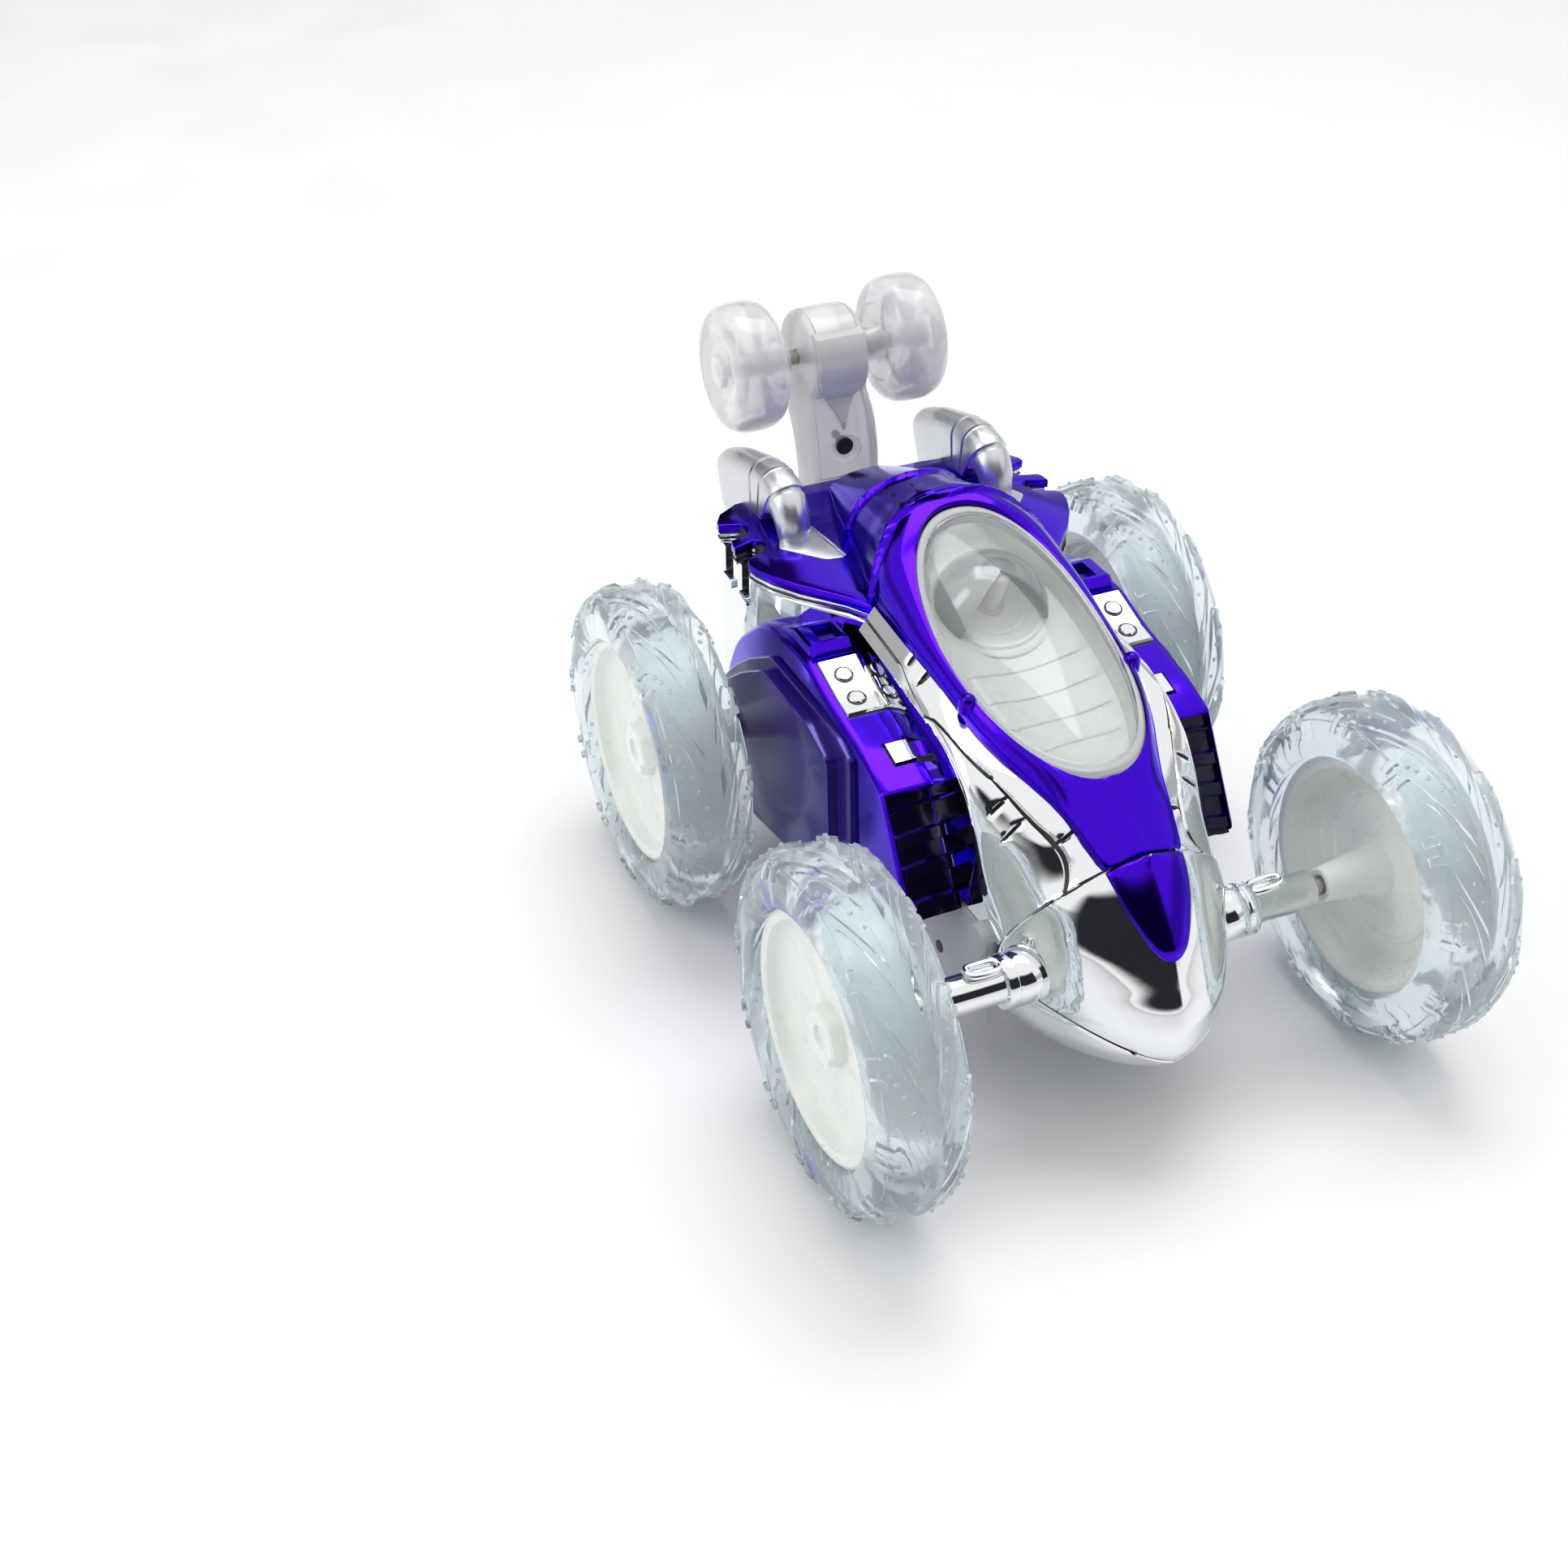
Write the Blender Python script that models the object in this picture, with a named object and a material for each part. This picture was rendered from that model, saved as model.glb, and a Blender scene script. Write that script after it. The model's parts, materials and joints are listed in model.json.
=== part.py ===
"""A small radio-controlled stunt car: four 70 mm wheels, two geared rear motors and a tail arm with two small wheels.

Lengths are in millimetres, measured from the middle of the front axle's line on the ground: +X is the car's left,
+Y runs back towards the tail and +Z is up. place() turns them into metres, with the origin under the middle of the
car's box.
"""

import math

import bpy
import bmesh
from mathutils import Vector

# ---- driving dimensions, mm ----
Y_MIDDLE = 57.2  # from the front axle back to the middle of the overall length
WHEEL_R = 35.0
TYRE_HALF = 9.2
WHEEL_Z = WHEEL_R
FRONT_TRACK_HALF = 57.2
REAR_TRACK_HALF = 55.7
WHEELBASE = 96.4
RIM_R = 23.0
BEAD_R = 23.3
TAIL_WHEEL_R = 13.8
TAIL_WHEEL_HALF = 6.15
TAIL_WHEEL_X = 18.6
TAIL_AXLE = (0.0, 135.6, 97.2)

GAP = 0.3  # between neighbours that touch
WALL = 1.2
CHASSIS_HALF = 24.0
CHASSIS_BOTTOM = 17.0
CHASSIS_TOP = 37.7
CHASSIS_WALL = 1.6
CHASSIS_Y = (7.8, 117.5)
FLANK_X = 24.0
POD_X = (25.0, 36.0)
HOUSING_X = 35.6
DECK_Z = (74.2, 76.2)

FRONT_AXLE_R = 1.6
FRONT_BORE_R = 1.9
BEAM_R = 3.75
COLLAR_R = 5.25
BEAM_END = 41.0
REAR_SHAFT_R = 1.5

GEAR_MODULE = 0.6
PINION_TEETH = 8
SMALL_TEETH = 10
LARGE_TEETH = 26
FINAL_TEETH = 28
GEAR_BORE_R = 1.3
FINAL_RISE = math.radians(25)  # the compound gear's direction from the wheel's shaft
PINION_RISE = math.radians(20)  # the motor's direction from the compound gear
MOTOR_R = 7.75
MOTOR_X = (2.3, 22.0)

CANOPY_Y = (10.6, 74.4)
CANOPY_HALF = 17.0

ROUND = 28  # sides of the wheels
HUB_ROUND = 20
SMALL_ROUND = 12
SHARP_ANGLE = 35.0  # degrees between faces that are shaded as an edge
BEVEL_ANGLE = 40.0


# ---- making objects ----
def clear_scene():
    for obj in list(bpy.data.objects):
        bpy.data.objects.remove(obj, do_unlink=True)


def material(name, colour, roughness, metallic=0.0, alpha=1.0):
    made = bpy.data.materials.new(name)
    made.use_nodes = True
    shader = made.node_tree.nodes["Principled BSDF"]
    shader.inputs["Base Color"].default_value = (*colour, 1.0)
    shader.inputs["Roughness"].default_value = roughness
    shader.inputs["Metallic"].default_value = metallic
    shader.inputs["Alpha"].default_value = alpha
    return made


def place(x, y, z):
    """A point in millimetres from the front axle as metres in the part's frame."""
    return Vector((x, y - Y_MIDDLE, z)) * 0.001


def solid(name, points, faces, look, origin=(0.0, 0.0, 0.0), helper=False):
    """One object from points in mm, with its own origin at a point in mm."""
    mesh = bpy.data.meshes.new(name)
    base = place(*origin) if origin != (0.0, 0.0, 0.0) else Vector()
    mesh.from_pydata([place(*p) - base for p in points], [], faces)
    build = bmesh.new()
    build.from_mesh(mesh)
    bmesh.ops.remove_doubles(build, verts=build.verts, dist=1e-7)
    bmesh.ops.recalc_face_normals(build, faces=build.faces)
    build.to_mesh(mesh)
    build.free()
    obj = bpy.data.objects.new(name, mesh)
    obj.location = base
    bpy.context.scene.collection.objects.link(obj)
    if look is not None:
        mesh.materials.append(look)
    mesh.shade_smooth()
    mesh.set_sharp_from_angle(angle=math.radians(SHARP_ANGLE))
    if helper:
        obj.hide_render = True
        obj.display_type = "WIRE"
    return obj


def boolean(obj, other, operation="DIFFERENCE", solver="EXACT"):
    """MANIFOLD is for thin bent skins, where EXACT loses faces."""
    made = obj.modifiers.new(other.name, "BOOLEAN")
    made.object = other
    made.operation = operation
    made.solver = solver


def bevel(obj, width, segments=1):
    made = obj.modifiers.new("edge", "BEVEL")
    made.width = width * 0.001
    made.segments = segments
    made.limit_method = "ANGLE"
    made.angle_limit = math.radians(BEVEL_ANGLE)


def grid_faces(rows, columns, wrap=False):
    """Quads between rows of points, each row closed into a ring where wrap is true."""
    faces = []
    for row in range(rows - 1):
        for column in range(columns if wrap else columns - 1):
            nxt = (column + 1) % columns
            faces.append(
                (row * columns + column, row * columns + nxt, (row + 1) * columns + nxt, (row + 1) * columns + column)
            )
    return faces


def loft(name, rings, look, helper=False):
    """A closed solid through rings of equal count, with a flat cap at each end."""
    count = len(rings[0])
    faces = grid_faces(len(rings), count, wrap=True)
    faces.append(tuple(range(count)))
    last = (len(rings) - 1) * count
    faces.append(tuple(range(last, last + count)))
    return solid(name, [p for ring in rings for p in ring], faces, look, helper=helper)


def skin(name, points, faces, look, inside, thickness):
    """A wall of this thickness, inwards from an open surface. Its faces are turned away from the point inside, in mm."""
    obj = solid(name, points, faces, look)
    centre = place(*inside) - obj.location
    outwards = sum(face.area * face.normal.dot(face.center - centre) for face in obj.data.polygons)
    if outwards < 0:
        obj.data.flip_normals()
    made = obj.modifiers.new("wall", "SOLIDIFY")
    made.thickness = thickness * 0.001
    made.offset = -1.0
    made.use_even_offset = True
    return obj


def sheet(name, rows, look, inside):
    """A walled open surface through rows of points."""
    return skin(name, [p for row in rows for p in row], grid_faces(len(rows), len(rows[0])), look, inside, WALL)


def prism(name, outline, low, high, axis, look, helper=False):
    """An outline extruded from low to high: axis X takes (y, z) points, Y takes (x, z) and Z takes (x, y)."""
    order = {"X": lambda a, b, h: (h, a, b), "Y": lambda a, b, h: (a, h, b), "Z": lambda a, b, h: (a, b, h)}[axis]
    rings = [[order(a, b, h) for a, b in outline] for h in (low, high)]
    return loft(name, rings, look, helper)


def box(name, low, high, look, helper=False):
    outline = [(low[0], low[1]), (high[0], low[1]), (high[0], high[1]), (low[0], high[1])]
    return prism(name, outline, low[2], high[2], "Z", look, helper)


def turned(name, profile, centre, look, axis="X", sides=ROUND, flip=1, helper=False):
    """A closed profile of (along, radius) points turned about an axis through centre. flip=-1 mirrors it."""
    points, index = [], []
    for station, radius in profile:
        if radius == 0:
            index.append([len(points)] * sides)
            points.append((station, 0.0, 0.0))
            continue
        index.append(list(range(len(points), len(points) + sides)))
        for side in range(sides):
            turn = 2 * math.pi * side / sides
            points.append((station, radius * math.cos(turn), radius * math.sin(turn)))
    faces = []
    on_axis = profile[0][1] == 0 and profile[-1][1] == 0
    for i in range(len(profile) - (1 if on_axis else 0)):
        a, b = index[i], index[(i + 1) % len(profile)]
        for side in range(sides):
            nxt = (side + 1) % sides
            quad = list(dict.fromkeys((a[side], a[nxt], b[nxt], b[side])))
            if len(quad) > 2:
                faces.append(tuple(quad))
    turn_to = {"X": lambda s, u, v: (s, u, v), "Y": lambda s, u, v: (u, s, v), "Z": lambda s, u, v: (u, v, s)}[axis]
    placed = []
    for s, u, v in points:
        x, y, z = turn_to(flip * s, u, v)
        placed.append((centre[0] + x, centre[1] + y, centre[2] + z))
    return solid(name, placed, faces, look, origin=centre, helper=helper)


def rod(name, low, high, radius, centre, look, axis="X", sides=SMALL_ROUND, flip=1, helper=False):
    return turned(name, [(low, 0), (low, radius), (high, radius), (high, 0)], centre, look, axis, sides, flip, helper)


def tube(name, low, high, radius, bore, centre, look, flip):
    profile = [(low, bore), (low, radius), (high, radius), (high, bore)]
    return turned(name, profile, centre, look, "X", SMALL_ROUND, flip)


def along(table, y):
    """Values read from rows of (y, value, ...) by straight interpolation."""
    if y <= table[0][0]:
        return table[0][1:]
    for low, high in zip(table, table[1:]):
        if y <= high[0]:
            t = (y - low[0]) / (high[0] - low[0])
            return tuple(a + (b - a) * t for a, b in zip(low[1:], high[1:]))
    return table[-1][1:]


# ---- materials ----
LOOKS = {
    "chrome": material("chrome", (0.86, 0.87, 0.88), 0.06, 1.0),
    "purple": material("purple_metallic", (0.045, 0.0, 0.58), 0.16, 0.75),
    "silver": material("silver_plastic", (0.62, 0.63, 0.65), 0.34, 0.6),
    "hub": material("hub_plastic", (0.86, 0.88, 0.80), 0.35),
    "tyre": material("clear_tyre", (0.72, 0.82, 0.90), 0.22, 0.0, 0.75),
    "frosted": material("frosted_plastic", (0.82, 0.85, 0.85), 0.3, 0.0, 0.85),
    "canopy": material("clear_canopy", (0.9, 0.92, 0.92), 0.08, 0.0, 0.35),
    "white": material("white_plastic", (0.85, 0.86, 0.85), 0.4),
    "chassis": material("chassis_plastic", (0.55, 0.56, 0.57), 0.5),
    "steel": material("steel", (0.55, 0.53, 0.48), 0.3, 1.0),
    "board": material("board_green", (0.02, 0.16, 0.06), 0.5),
    "battery": material("battery_wrap", (0.03, 0.10, 0.32), 0.4),
    "gear": material("gear_nylon", (0.86, 0.85, 0.78), 0.45),
    "black": material("black_plastic", (0.02, 0.02, 0.02), 0.45),
    "brass": material("brass", (0.66, 0.48, 0.2), 0.35, 1.0),
}


# ---- wheels ----
def hub_profile():
    """Along the axle, outwards positive: a barrel with two lips, a dished disc and a long inner boss with a blind bore."""
    return [
        (3.8, 0), (3.8, FRONT_BORE_R), (-13.7, FRONT_BORE_R), (-13.7, 3.4), (-4.0, 4.6), (0.6, 8.0), (0.9, 18.6),
        (-6.4, 21.8), (-6.4, 23.9), (-5.2, 23.9), (-5.2, RIM_R), (5.4, RIM_R), (5.4, 23.9), (6.7, 23.7), (4.0, 20.8),
        (2.3, 17.0), (2.1, 8.6), (5.6, 4.8), (5.6, 0),
    ]


def tyre_profile():
    """A ring with a bead between the hub's lips and a superelliptic outside."""
    bead_half, crown_middle, crown_height, exponent = 4.9, 27.4, WHEEL_R - 27.4, 2.6
    points = [(bead_half, BEAD_R), (bead_half, 24.4)]
    steps = 10
    for step in range(steps + 1):
        turn = math.radians(-26) + math.radians(232) * step / steps
        c, s = math.cos(turn), math.sin(turn)
        along_x = TYRE_HALF * math.copysign(abs(c) ** (2 / exponent), c)
        radius = crown_middle + crown_height * math.copysign(abs(s) ** (2 / exponent), s)
        points.append((along_x, max(radius, 24.4)))
    points += [(-bead_half, 24.4), (-bead_half, BEAD_R)]
    return points


def make_wheels():
    for end, track, y in (("front", FRONT_TRACK_HALF, 0.0), ("rear", REAR_TRACK_HALF, WHEELBASE)):
        for side, sign in (("left", 1), ("right", -1)):
            centre = (sign * track, y, WHEEL_Z)
            turned(f"wheel_hub_{end}_{side}", hub_profile(), centre, LOOKS["hub"], sides=HUB_ROUND, flip=sign)
            turned(f"tyre_{end}_{side}", tyre_profile(), centre, LOOKS["tyre"], flip=sign)


def tail_wheel_profile():
    bead = [(4.3, 0), (4.3, FRONT_BORE_R), (-9.6, FRONT_BORE_R), (-9.6, 3.5), (-5.9, 3.75)]
    rim = [(-5.2, 8.5)]
    steps, exponent, middle = 6, 2.8, 8.0
    for step in range(steps + 1):
        turn = math.pi - math.pi * step / steps
        c, s = math.cos(turn), math.sin(turn)
        along_x = TAIL_WHEEL_HALF * math.copysign(abs(c) ** (2 / exponent), c)
        rim.append((along_x, middle + (TAIL_WHEEL_R - middle) * abs(s) ** (2 / exponent) + 0.6 * (1 - abs(s))))
    return bead + rim + [(5.6, 3.2), (6.6, 2.8), (6.6, 0)]


# ---- the front: nose shells and axle ----
# Height, half-width and y where the nose meets the body's seam, and y of the nose's front at that height
NOSE_SLICES = (
    (17.3, 13.0, 7.0, -12.0), (19.0, 18.5, 7.0, -16.5), (22.0, 22.0, 6.9, -19.6), (26.0, 23.6, 6.8, -21.2),
    (30.0, 24.0, 6.7, -21.4), (34.0, 24.0, 6.5, -20.3), (38.0, 23.8, 5.8, -18.4), (43.0, 22.3, 3.9, -15.9),
    (47.0, 20.0, 2.1, -13.5), (50.0, 17.5, 0.4, -11.4), (53.0, 13.8, -1.2, -9.0), (55.5, 9.8, -2.1, -6.8),
    (57.5, 5.4, -3.0, -4.8), (58.6, 0.6, -3.5, -3.8),
)
PARTING_FRONT_Z = 22.0  # the line between the two shells is low in front and climbs to the axle's sockets
PARTING_SIDE_Z = 31.8
NOSE_POWER = 1.75
NOSE_COLUMNS = 17


def nose_point(z, turn):
    """A point of the nose at a height, turned from straight ahead towards its left (+) or right (-) end."""
    half, back, front = along(NOSE_SLICES, z)
    c, s = abs(math.cos(turn)), math.sin(turn)
    return half * math.copysign(abs(s) ** (2 / NOSE_POWER), s), back - (back - front) * c ** (2 / NOSE_POWER), z


def nose_rows(end_z, steps, gap):
    """Rows of the nose from its parting line, less the gap, to the height end_z."""
    rows = []
    for step in range(steps + 1):
        row = []
        for column in range(NOSE_COLUMNS):
            turn = math.pi * (column / (NOSE_COLUMNS - 1) - 0.5)
            parting = PARTING_FRONT_Z + (PARTING_SIDE_Z - PARTING_FRONT_Z) * abs(math.sin(turn)) ** 1.2 + gap
            row.append(nose_point(parting + (end_z - parting) * step / steps, turn))
        rows.append(row)
    return rows


def nose_y(x, z, proud):
    """y of the nose's surface at x and z, lifted forward by proud."""
    half, back, front = along(NOSE_SLICES, z)
    share = min(abs(x) / half, 1.0)
    return back - (back - front) * (1 - share**NOSE_POWER) ** (1 / NOSE_POWER) - proud


def make_nose():
    inside = (0.0, 5.0, 32.0)
    cover = sheet("nose_cover", nose_rows(NOSE_SLICES[-1][0], 11, 0.2), LOOKS["chrome"], inside)
    lower = nose_rows(NOSE_SLICES[0][0], 5, -0.2)
    flat = [(x, lower[-1][0][1], z) for x, _, z in lower[-1]]
    bottom = sheet("nose_lower", lower + [flat], LOOKS["chrome"], inside)
    socket = rod("socket_cutter", -45, 45, COLLAR_R + GAP, (0, 0, WHEEL_Z), None, sides=24, helper=True)
    boolean(cover, socket)
    boolean(bottom, socket)

    tongue_z = (43.2, 44.5, 46.8, 49.0, 51.5, 54.0, 56.6, 57.4)
    tongue_half = (0.9, 2.6, 4.3, 5.6, 6.7, 7.3, 7.0, 5.2)
    rings = []
    for z, half in zip(tongue_z, tongue_half):
        outer = [(half * t, nose_y(half * t, z, 1.4), z) for t in (-1, -0.6, -0.2, 0.2, 0.6, 1)]
        inner = [(x, nose_y(x, z, 0.5), z) for x, _, _ in reversed(outer)]
        rings.append(outer + inner)
    loft("nose_stripe", rings, LOOKS["purple"])


def make_front_axle():
    profile = [
        (-BEAM_END, FRONT_BORE_R), (-BEAM_END, BEAM_R - 0.4), (-BEAM_END + 0.5, BEAM_R), (-27, BEAM_R), (-27, COLLAR_R),
        (-19, COLLAR_R), (-19, BEAM_R), (19, BEAM_R), (19, COLLAR_R), (27, COLLAR_R), (27, BEAM_R),
        (BEAM_END - 0.5, BEAM_R), (BEAM_END, BEAM_R - 0.4), (BEAM_END, FRONT_BORE_R),
    ]
    beam = turned("front_axle_beam", profile, (0, 0, WHEEL_Z), LOOKS["chrome"], sides=16)
    for sign in (1, -1):
        low, high = sorted((sign * 26.2, sign * 33.0))
        clip = box(f"clip_{sign}", (low, -1.3, WHEEL_Z + 3.0), (high, 1.3, WHEEL_Z + 5.6), None, helper=True)
        boolean(beam, clip, "UNION")
    end = FRONT_TRACK_HALF + 3.4
    rod("front_axle", -end, end, FRONT_AXLE_R, (0, 0, WHEEL_Z), LOOKS["steel"])


# ---- the upper body ----
# y, half-width and height of the lower edge of the purple spine, height of the flank's shoulder at x = FLANK_X
FLANK = (
    (-3.0, 8.2, 56.2, 39.6), (6.0, 10.4, 61.2, 43.0), (11.0, 11.9, 62.8, 47.0), (16.0, 13.9, 64.6, 53.5),
    (22.0, 16.3, 66.8, 61.5), (32.0, 18.8, 70.2, 67.0), (45.0, 20.0, 73.4, 69.4), (56.0, 20.7, 75.2, 70.8),
    (66.6, 20.9, 76.4, 72.0),
)
STEP_DOWN = 0.7  # the body's top lies this far under the spine cover's lower edge


def lean(y, z):
    """How far a section leans back at its lower points, near the seam of the nose."""
    return max(0.0, 58.0 - z) * 0.47 * max(0.0, 1 - (y + 3) / 34)


def body_row(y):
    edge_x, edge_z, shoulder = along(FLANK, y)
    bulge = 0.5 * max(0.0, 1 - (y + 3) / 50)
    half = [(FLANK_X, 38.0), (FLANK_X, 0.5 * (38.0 + shoulder)), (FLANK_X, shoulder)]
    for t in (0.25, 0.5, 0.75):
        swell = 4 * t * (1 - t) * bulge * 6
        half.append((FLANK_X + (edge_x - FLANK_X) * t + swell * 0.6, shoulder + (edge_z - shoulder) * t + swell * 0.8))
    half += [(edge_x, edge_z), (edge_x - 0.3, edge_z - STEP_DOWN), (0.4 * edge_x, edge_z - STEP_DOWN)]
    whole = half + [(-x, z) for x, z in reversed(half)]
    return [(x, y + lean(y, z), z) for x, z in whole]


def ring_height(y):
    """Height of the canopy's edge, which climbs faster towards the tail."""
    off = y - 42.0
    return 76.2 + 0.3422 * off + 0.002394 * off * off


def ring_half(y):
    """Half-width of the canopy's edge."""
    middle, half = 0.5 * sum(CANOPY_Y), 0.5 * (CANOPY_Y[1] - CANOPY_Y[0])
    share = min(1.0, abs(y - middle) / half)
    return CANOPY_HALF * (1 - share**2.2) ** (1 / 2.2)


def canopy_outline(scale, count=28):
    middle, half = 0.5 * sum(CANOPY_Y), 0.5 * (CANOPY_Y[1] - CANOPY_Y[0])
    points = []
    for step in range(count):
        turn = 2 * math.pi * step / count
        c, s = math.cos(turn), math.sin(turn)
        x = CANOPY_HALF * math.copysign(abs(c) ** (2 / 2.2), c)
        y = half * math.copysign(abs(s) ** (2 / 2.2), s)
        points.append((x * scale, middle + y * scale))
    return points


# y, half-width and height of the inner plateau, of the crest, and of the foot of the side wall
SPINE = (
    (-3.0, 0.0, 58.9, 7.6, 57.3, 8.0, 56.2), (6.0, 0.0, 63.9, 9.1, 63.2, 10.1, 61.2),
    (11.0, 4.0, 67.0, 10.6, 66.1, 11.6, 62.8), (16.0, 9.6, 69.3, 12.4, 68.4, 13.6, 64.6),
    (22.0, 13.0, 71.2, 14.6, 70.7, 16.0, 66.8), (32.0, 16.3, 73.9, 17.3, 73.6, 18.5, 70.2),
    (45.0, 17.0, 77.4, 18.9, 76.0, 19.7, 73.4), (56.0, 16.0, 81.7, 19.8, 77.2, 20.4, 75.2),
    (66.0, 13.0, 86.0, 20.0, 77.8, 20.4, 76.6), (73.0, 7.0, 90.4, 18.0, 77.8, 18.2, 76.8),
    (78.0, 2.0, 92.2, 16.4, 77.6, 16.5, 76.8), (85.0, 0.0, 91.0, 14.6, 77.6, 14.7, 76.8),
    (93.0, 0.0, 88.6, 13.0, 77.6, 13.1, 76.8), (103.0, 0.0, 84.6, 11.0, 77.6, 11.1, 76.8),
    (112.9, 0.0, 80.2, 8.4, 77.4, 8.5, 76.8),
)


def spine_row(y, steps=5):
    inner, top, crest, crest_z, foot, foot_z = along(SPINE, y)
    half = []
    for step in range(steps + 1):
        x = crest * math.sin(step * math.pi / 2 / steps)
        share = max(0.0, (x - inner) / (crest - inner))
        half.append((x, crest_z + (top - crest_z) * math.sqrt(max(0.0, 1 - share * share))))
    half.append((foot, foot_z))
    whole = [(-x, z) for x, z in reversed(half[1:])] + half
    return [(x, y + lean(y, z), z) for x, z in whole]


def make_upper_body():
    inside = (0.0, 40.0, 40.0)
    shell = sheet("body_shell", [body_row(row[0]) for row in FLANK], LOOKS["chrome"], inside)
    well = prism("cockpit_well", canopy_outline(1.03), 60.0, 100.0, "Z", None, helper=True)
    boolean(shell, well)

    stations = sorted({row[0] for row in SPINE} | {27.0, 38.0, 50.0, 61.0})
    spine = sheet("spine_cover", [spine_row(y) for y in stations], LOOKS["purple"], inside)
    rim = prism("canopy_rim_cutter", canopy_outline(1.0 + GAP / CANOPY_HALF), 55.0, 110.0, "Z", None, helper=True)
    boolean(spine, rim, solver="MANIFOLD")


def bowl(name, scale, drops, look, thickness, crown=0.0):
    """A canopy-shaped dish or dome: rings shrink towards the middle, each dropped below the canopy's edge line."""
    middle = 0.5 * sum(CANOPY_Y)
    rows = []
    for share, drop in drops:
        row = []
        for x, y in canopy_outline(scale * share):
            row.append((x, y, ring_height(y) - drop + crown * (1 - share * share)))
        rows.append(row)
    count = len(rows[0])
    points = [p for row in rows for p in row] + [(0.0, middle, ring_height(middle) - drops[-1][1] + crown)]
    faces = grid_faces(len(rows), count, wrap=True)
    last = (len(rows) - 1) * count
    faces += [(last + i, last + (i + 1) % count, len(points) - 1) for i in range(count)]
    return skin(name, points, faces, look, (0.0, middle, 0.0), thickness)


def make_cockpit():
    dome = [(1.0, 0.2), (0.93, -0.9), (0.75, -0.9), (0.5, -0.9), (0.25, -0.9)]
    bowl("canopy", 1.0, dome, LOOKS["canopy"], 1.0, crown=5.6)
    dish = [(0.9, 2.2), (0.88, 7.0), (0.7, 7.4), (0.45, 7.4), (0.2, 7.4)]
    bowl("cockpit_insert", 1.0, dish, LOOKS["white"], WALL, crown=1.5)
    lamp_y = 58.0
    floor = ring_height(lamp_y) - 3.0
    profile = [(0.5, 5.6), (0.5, 7.6), (3.2, 6.9), (5.6, 4.6), (6.4, 2.2), (5.4, 2.2), (4.4, 4.0), (2.4, 5.6)]
    turned("cockpit_dome", profile, (0.0, lamp_y, floor), LOOKS["canopy"], axis="Z", sides=24)
    lamp = [(0.5, 0), (0.5, 1.5), (4.4, 1.5), (5.3, 0.9), (5.6, 0)]
    turned("cockpit_lamp", lamp, (0.0, lamp_y, floor), LOOKS["white"], axis="Z")


# ---- the rear: housing, deck and exhausts ----
DECK_WING = (
    (20.9, 67.2), (23.8, 72.3), (27.3, 76.5), (30.9, 80.7), (34.1, 85.7), (36.4, 91.0), (35.7, 94.3), (29.3, 98.8),
    (31.5, 100.5), (36.5, 99.1), (35.8, 102.5), (31.7, 103.6), (31.4, 107.6), (35.9, 109.3), (35.7, 110.7),
    (29.2, 116.4), (14.7, 117.9),
)
DECK_INNER = ((8.8, 113.3), (11.4, 103.0), (13.4, 93.0), (15.0, 85.0), (16.8, 78.0), (18.6, 72.0))
# Outline of the pod from the side, as (y, z)
POD_SIDE = (
    (18.0, 38.5), (31.2, 59.3), (39.0, 62.0), (55.0, 64.6), (66.0, 68.0), (76.0, 67.6), (85.0, 65.8), (89.5, 63.6),
    (101.3, 53.4), (106.2, 43.0), (107.4, 35.0), (104.5, 26.0), (96.0, 20.6), (84.0, 18.6), (60.0, 22.0), (26.0, 31.0),
)


def make_rear():
    plan = [(20.0, 68.0), (34.6, 87.0), (HOUSING_X, 91.0), (HOUSING_X, 110.0), (29.0, 117.2)]
    inner = [(18.6, 69.6), (33.4, 88.0), (HOUSING_X - 1.4, 91.6), (HOUSING_X - 1.4, 109.4), (28.4, 115.8)]

    def mirrored(outline):
        return list(outline) + [(-x, y) for x, y in reversed(outline)]

    housing = prism("rear_housing", mirrored(plan), 38.0, 73.9, "Z", LOOKS["chrome"])
    boolean(housing, prism("housing_hollow", mirrored(inner), 30.0, 72.5, "Z", None, helper=True))
    front = box("housing_front", (-24.5, 60.0, 30.0), (24.5, 90.0, 70.5), None, helper=True)
    boolean(housing, front)
    under_pod = [(60.0, 20.0), (60.0, 68.4), (76.0, 68.4), (86.0, 66.5), (90.5, 64.4), (102.2, 54.0), (107.0, 43.5),
                 (108.4, 35.0), (108.4, 20.0)]
    for side, sign in (("left", 1), ("right", -1)):
        low, high = sorted((sign * 24.3, sign * 45.0))
        boolean(housing, prism(f"under_pod_{side}", under_pod, low, high, "X", None, helper=True))

    outline = list(DECK_WING) + [(-x, y) for x, y in reversed(DECK_WING)]
    outline += [(-x, y) for x, y in reversed(DECK_INNER)] + list(DECK_INNER)
    prism("rear_deck", outline, DECK_Z[0], DECK_Z[1], "Z", LOOKS["purple"])
    for side, sign in (("left", 1), ("right", -1)):
        make_exhaust(side, sign)


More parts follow.
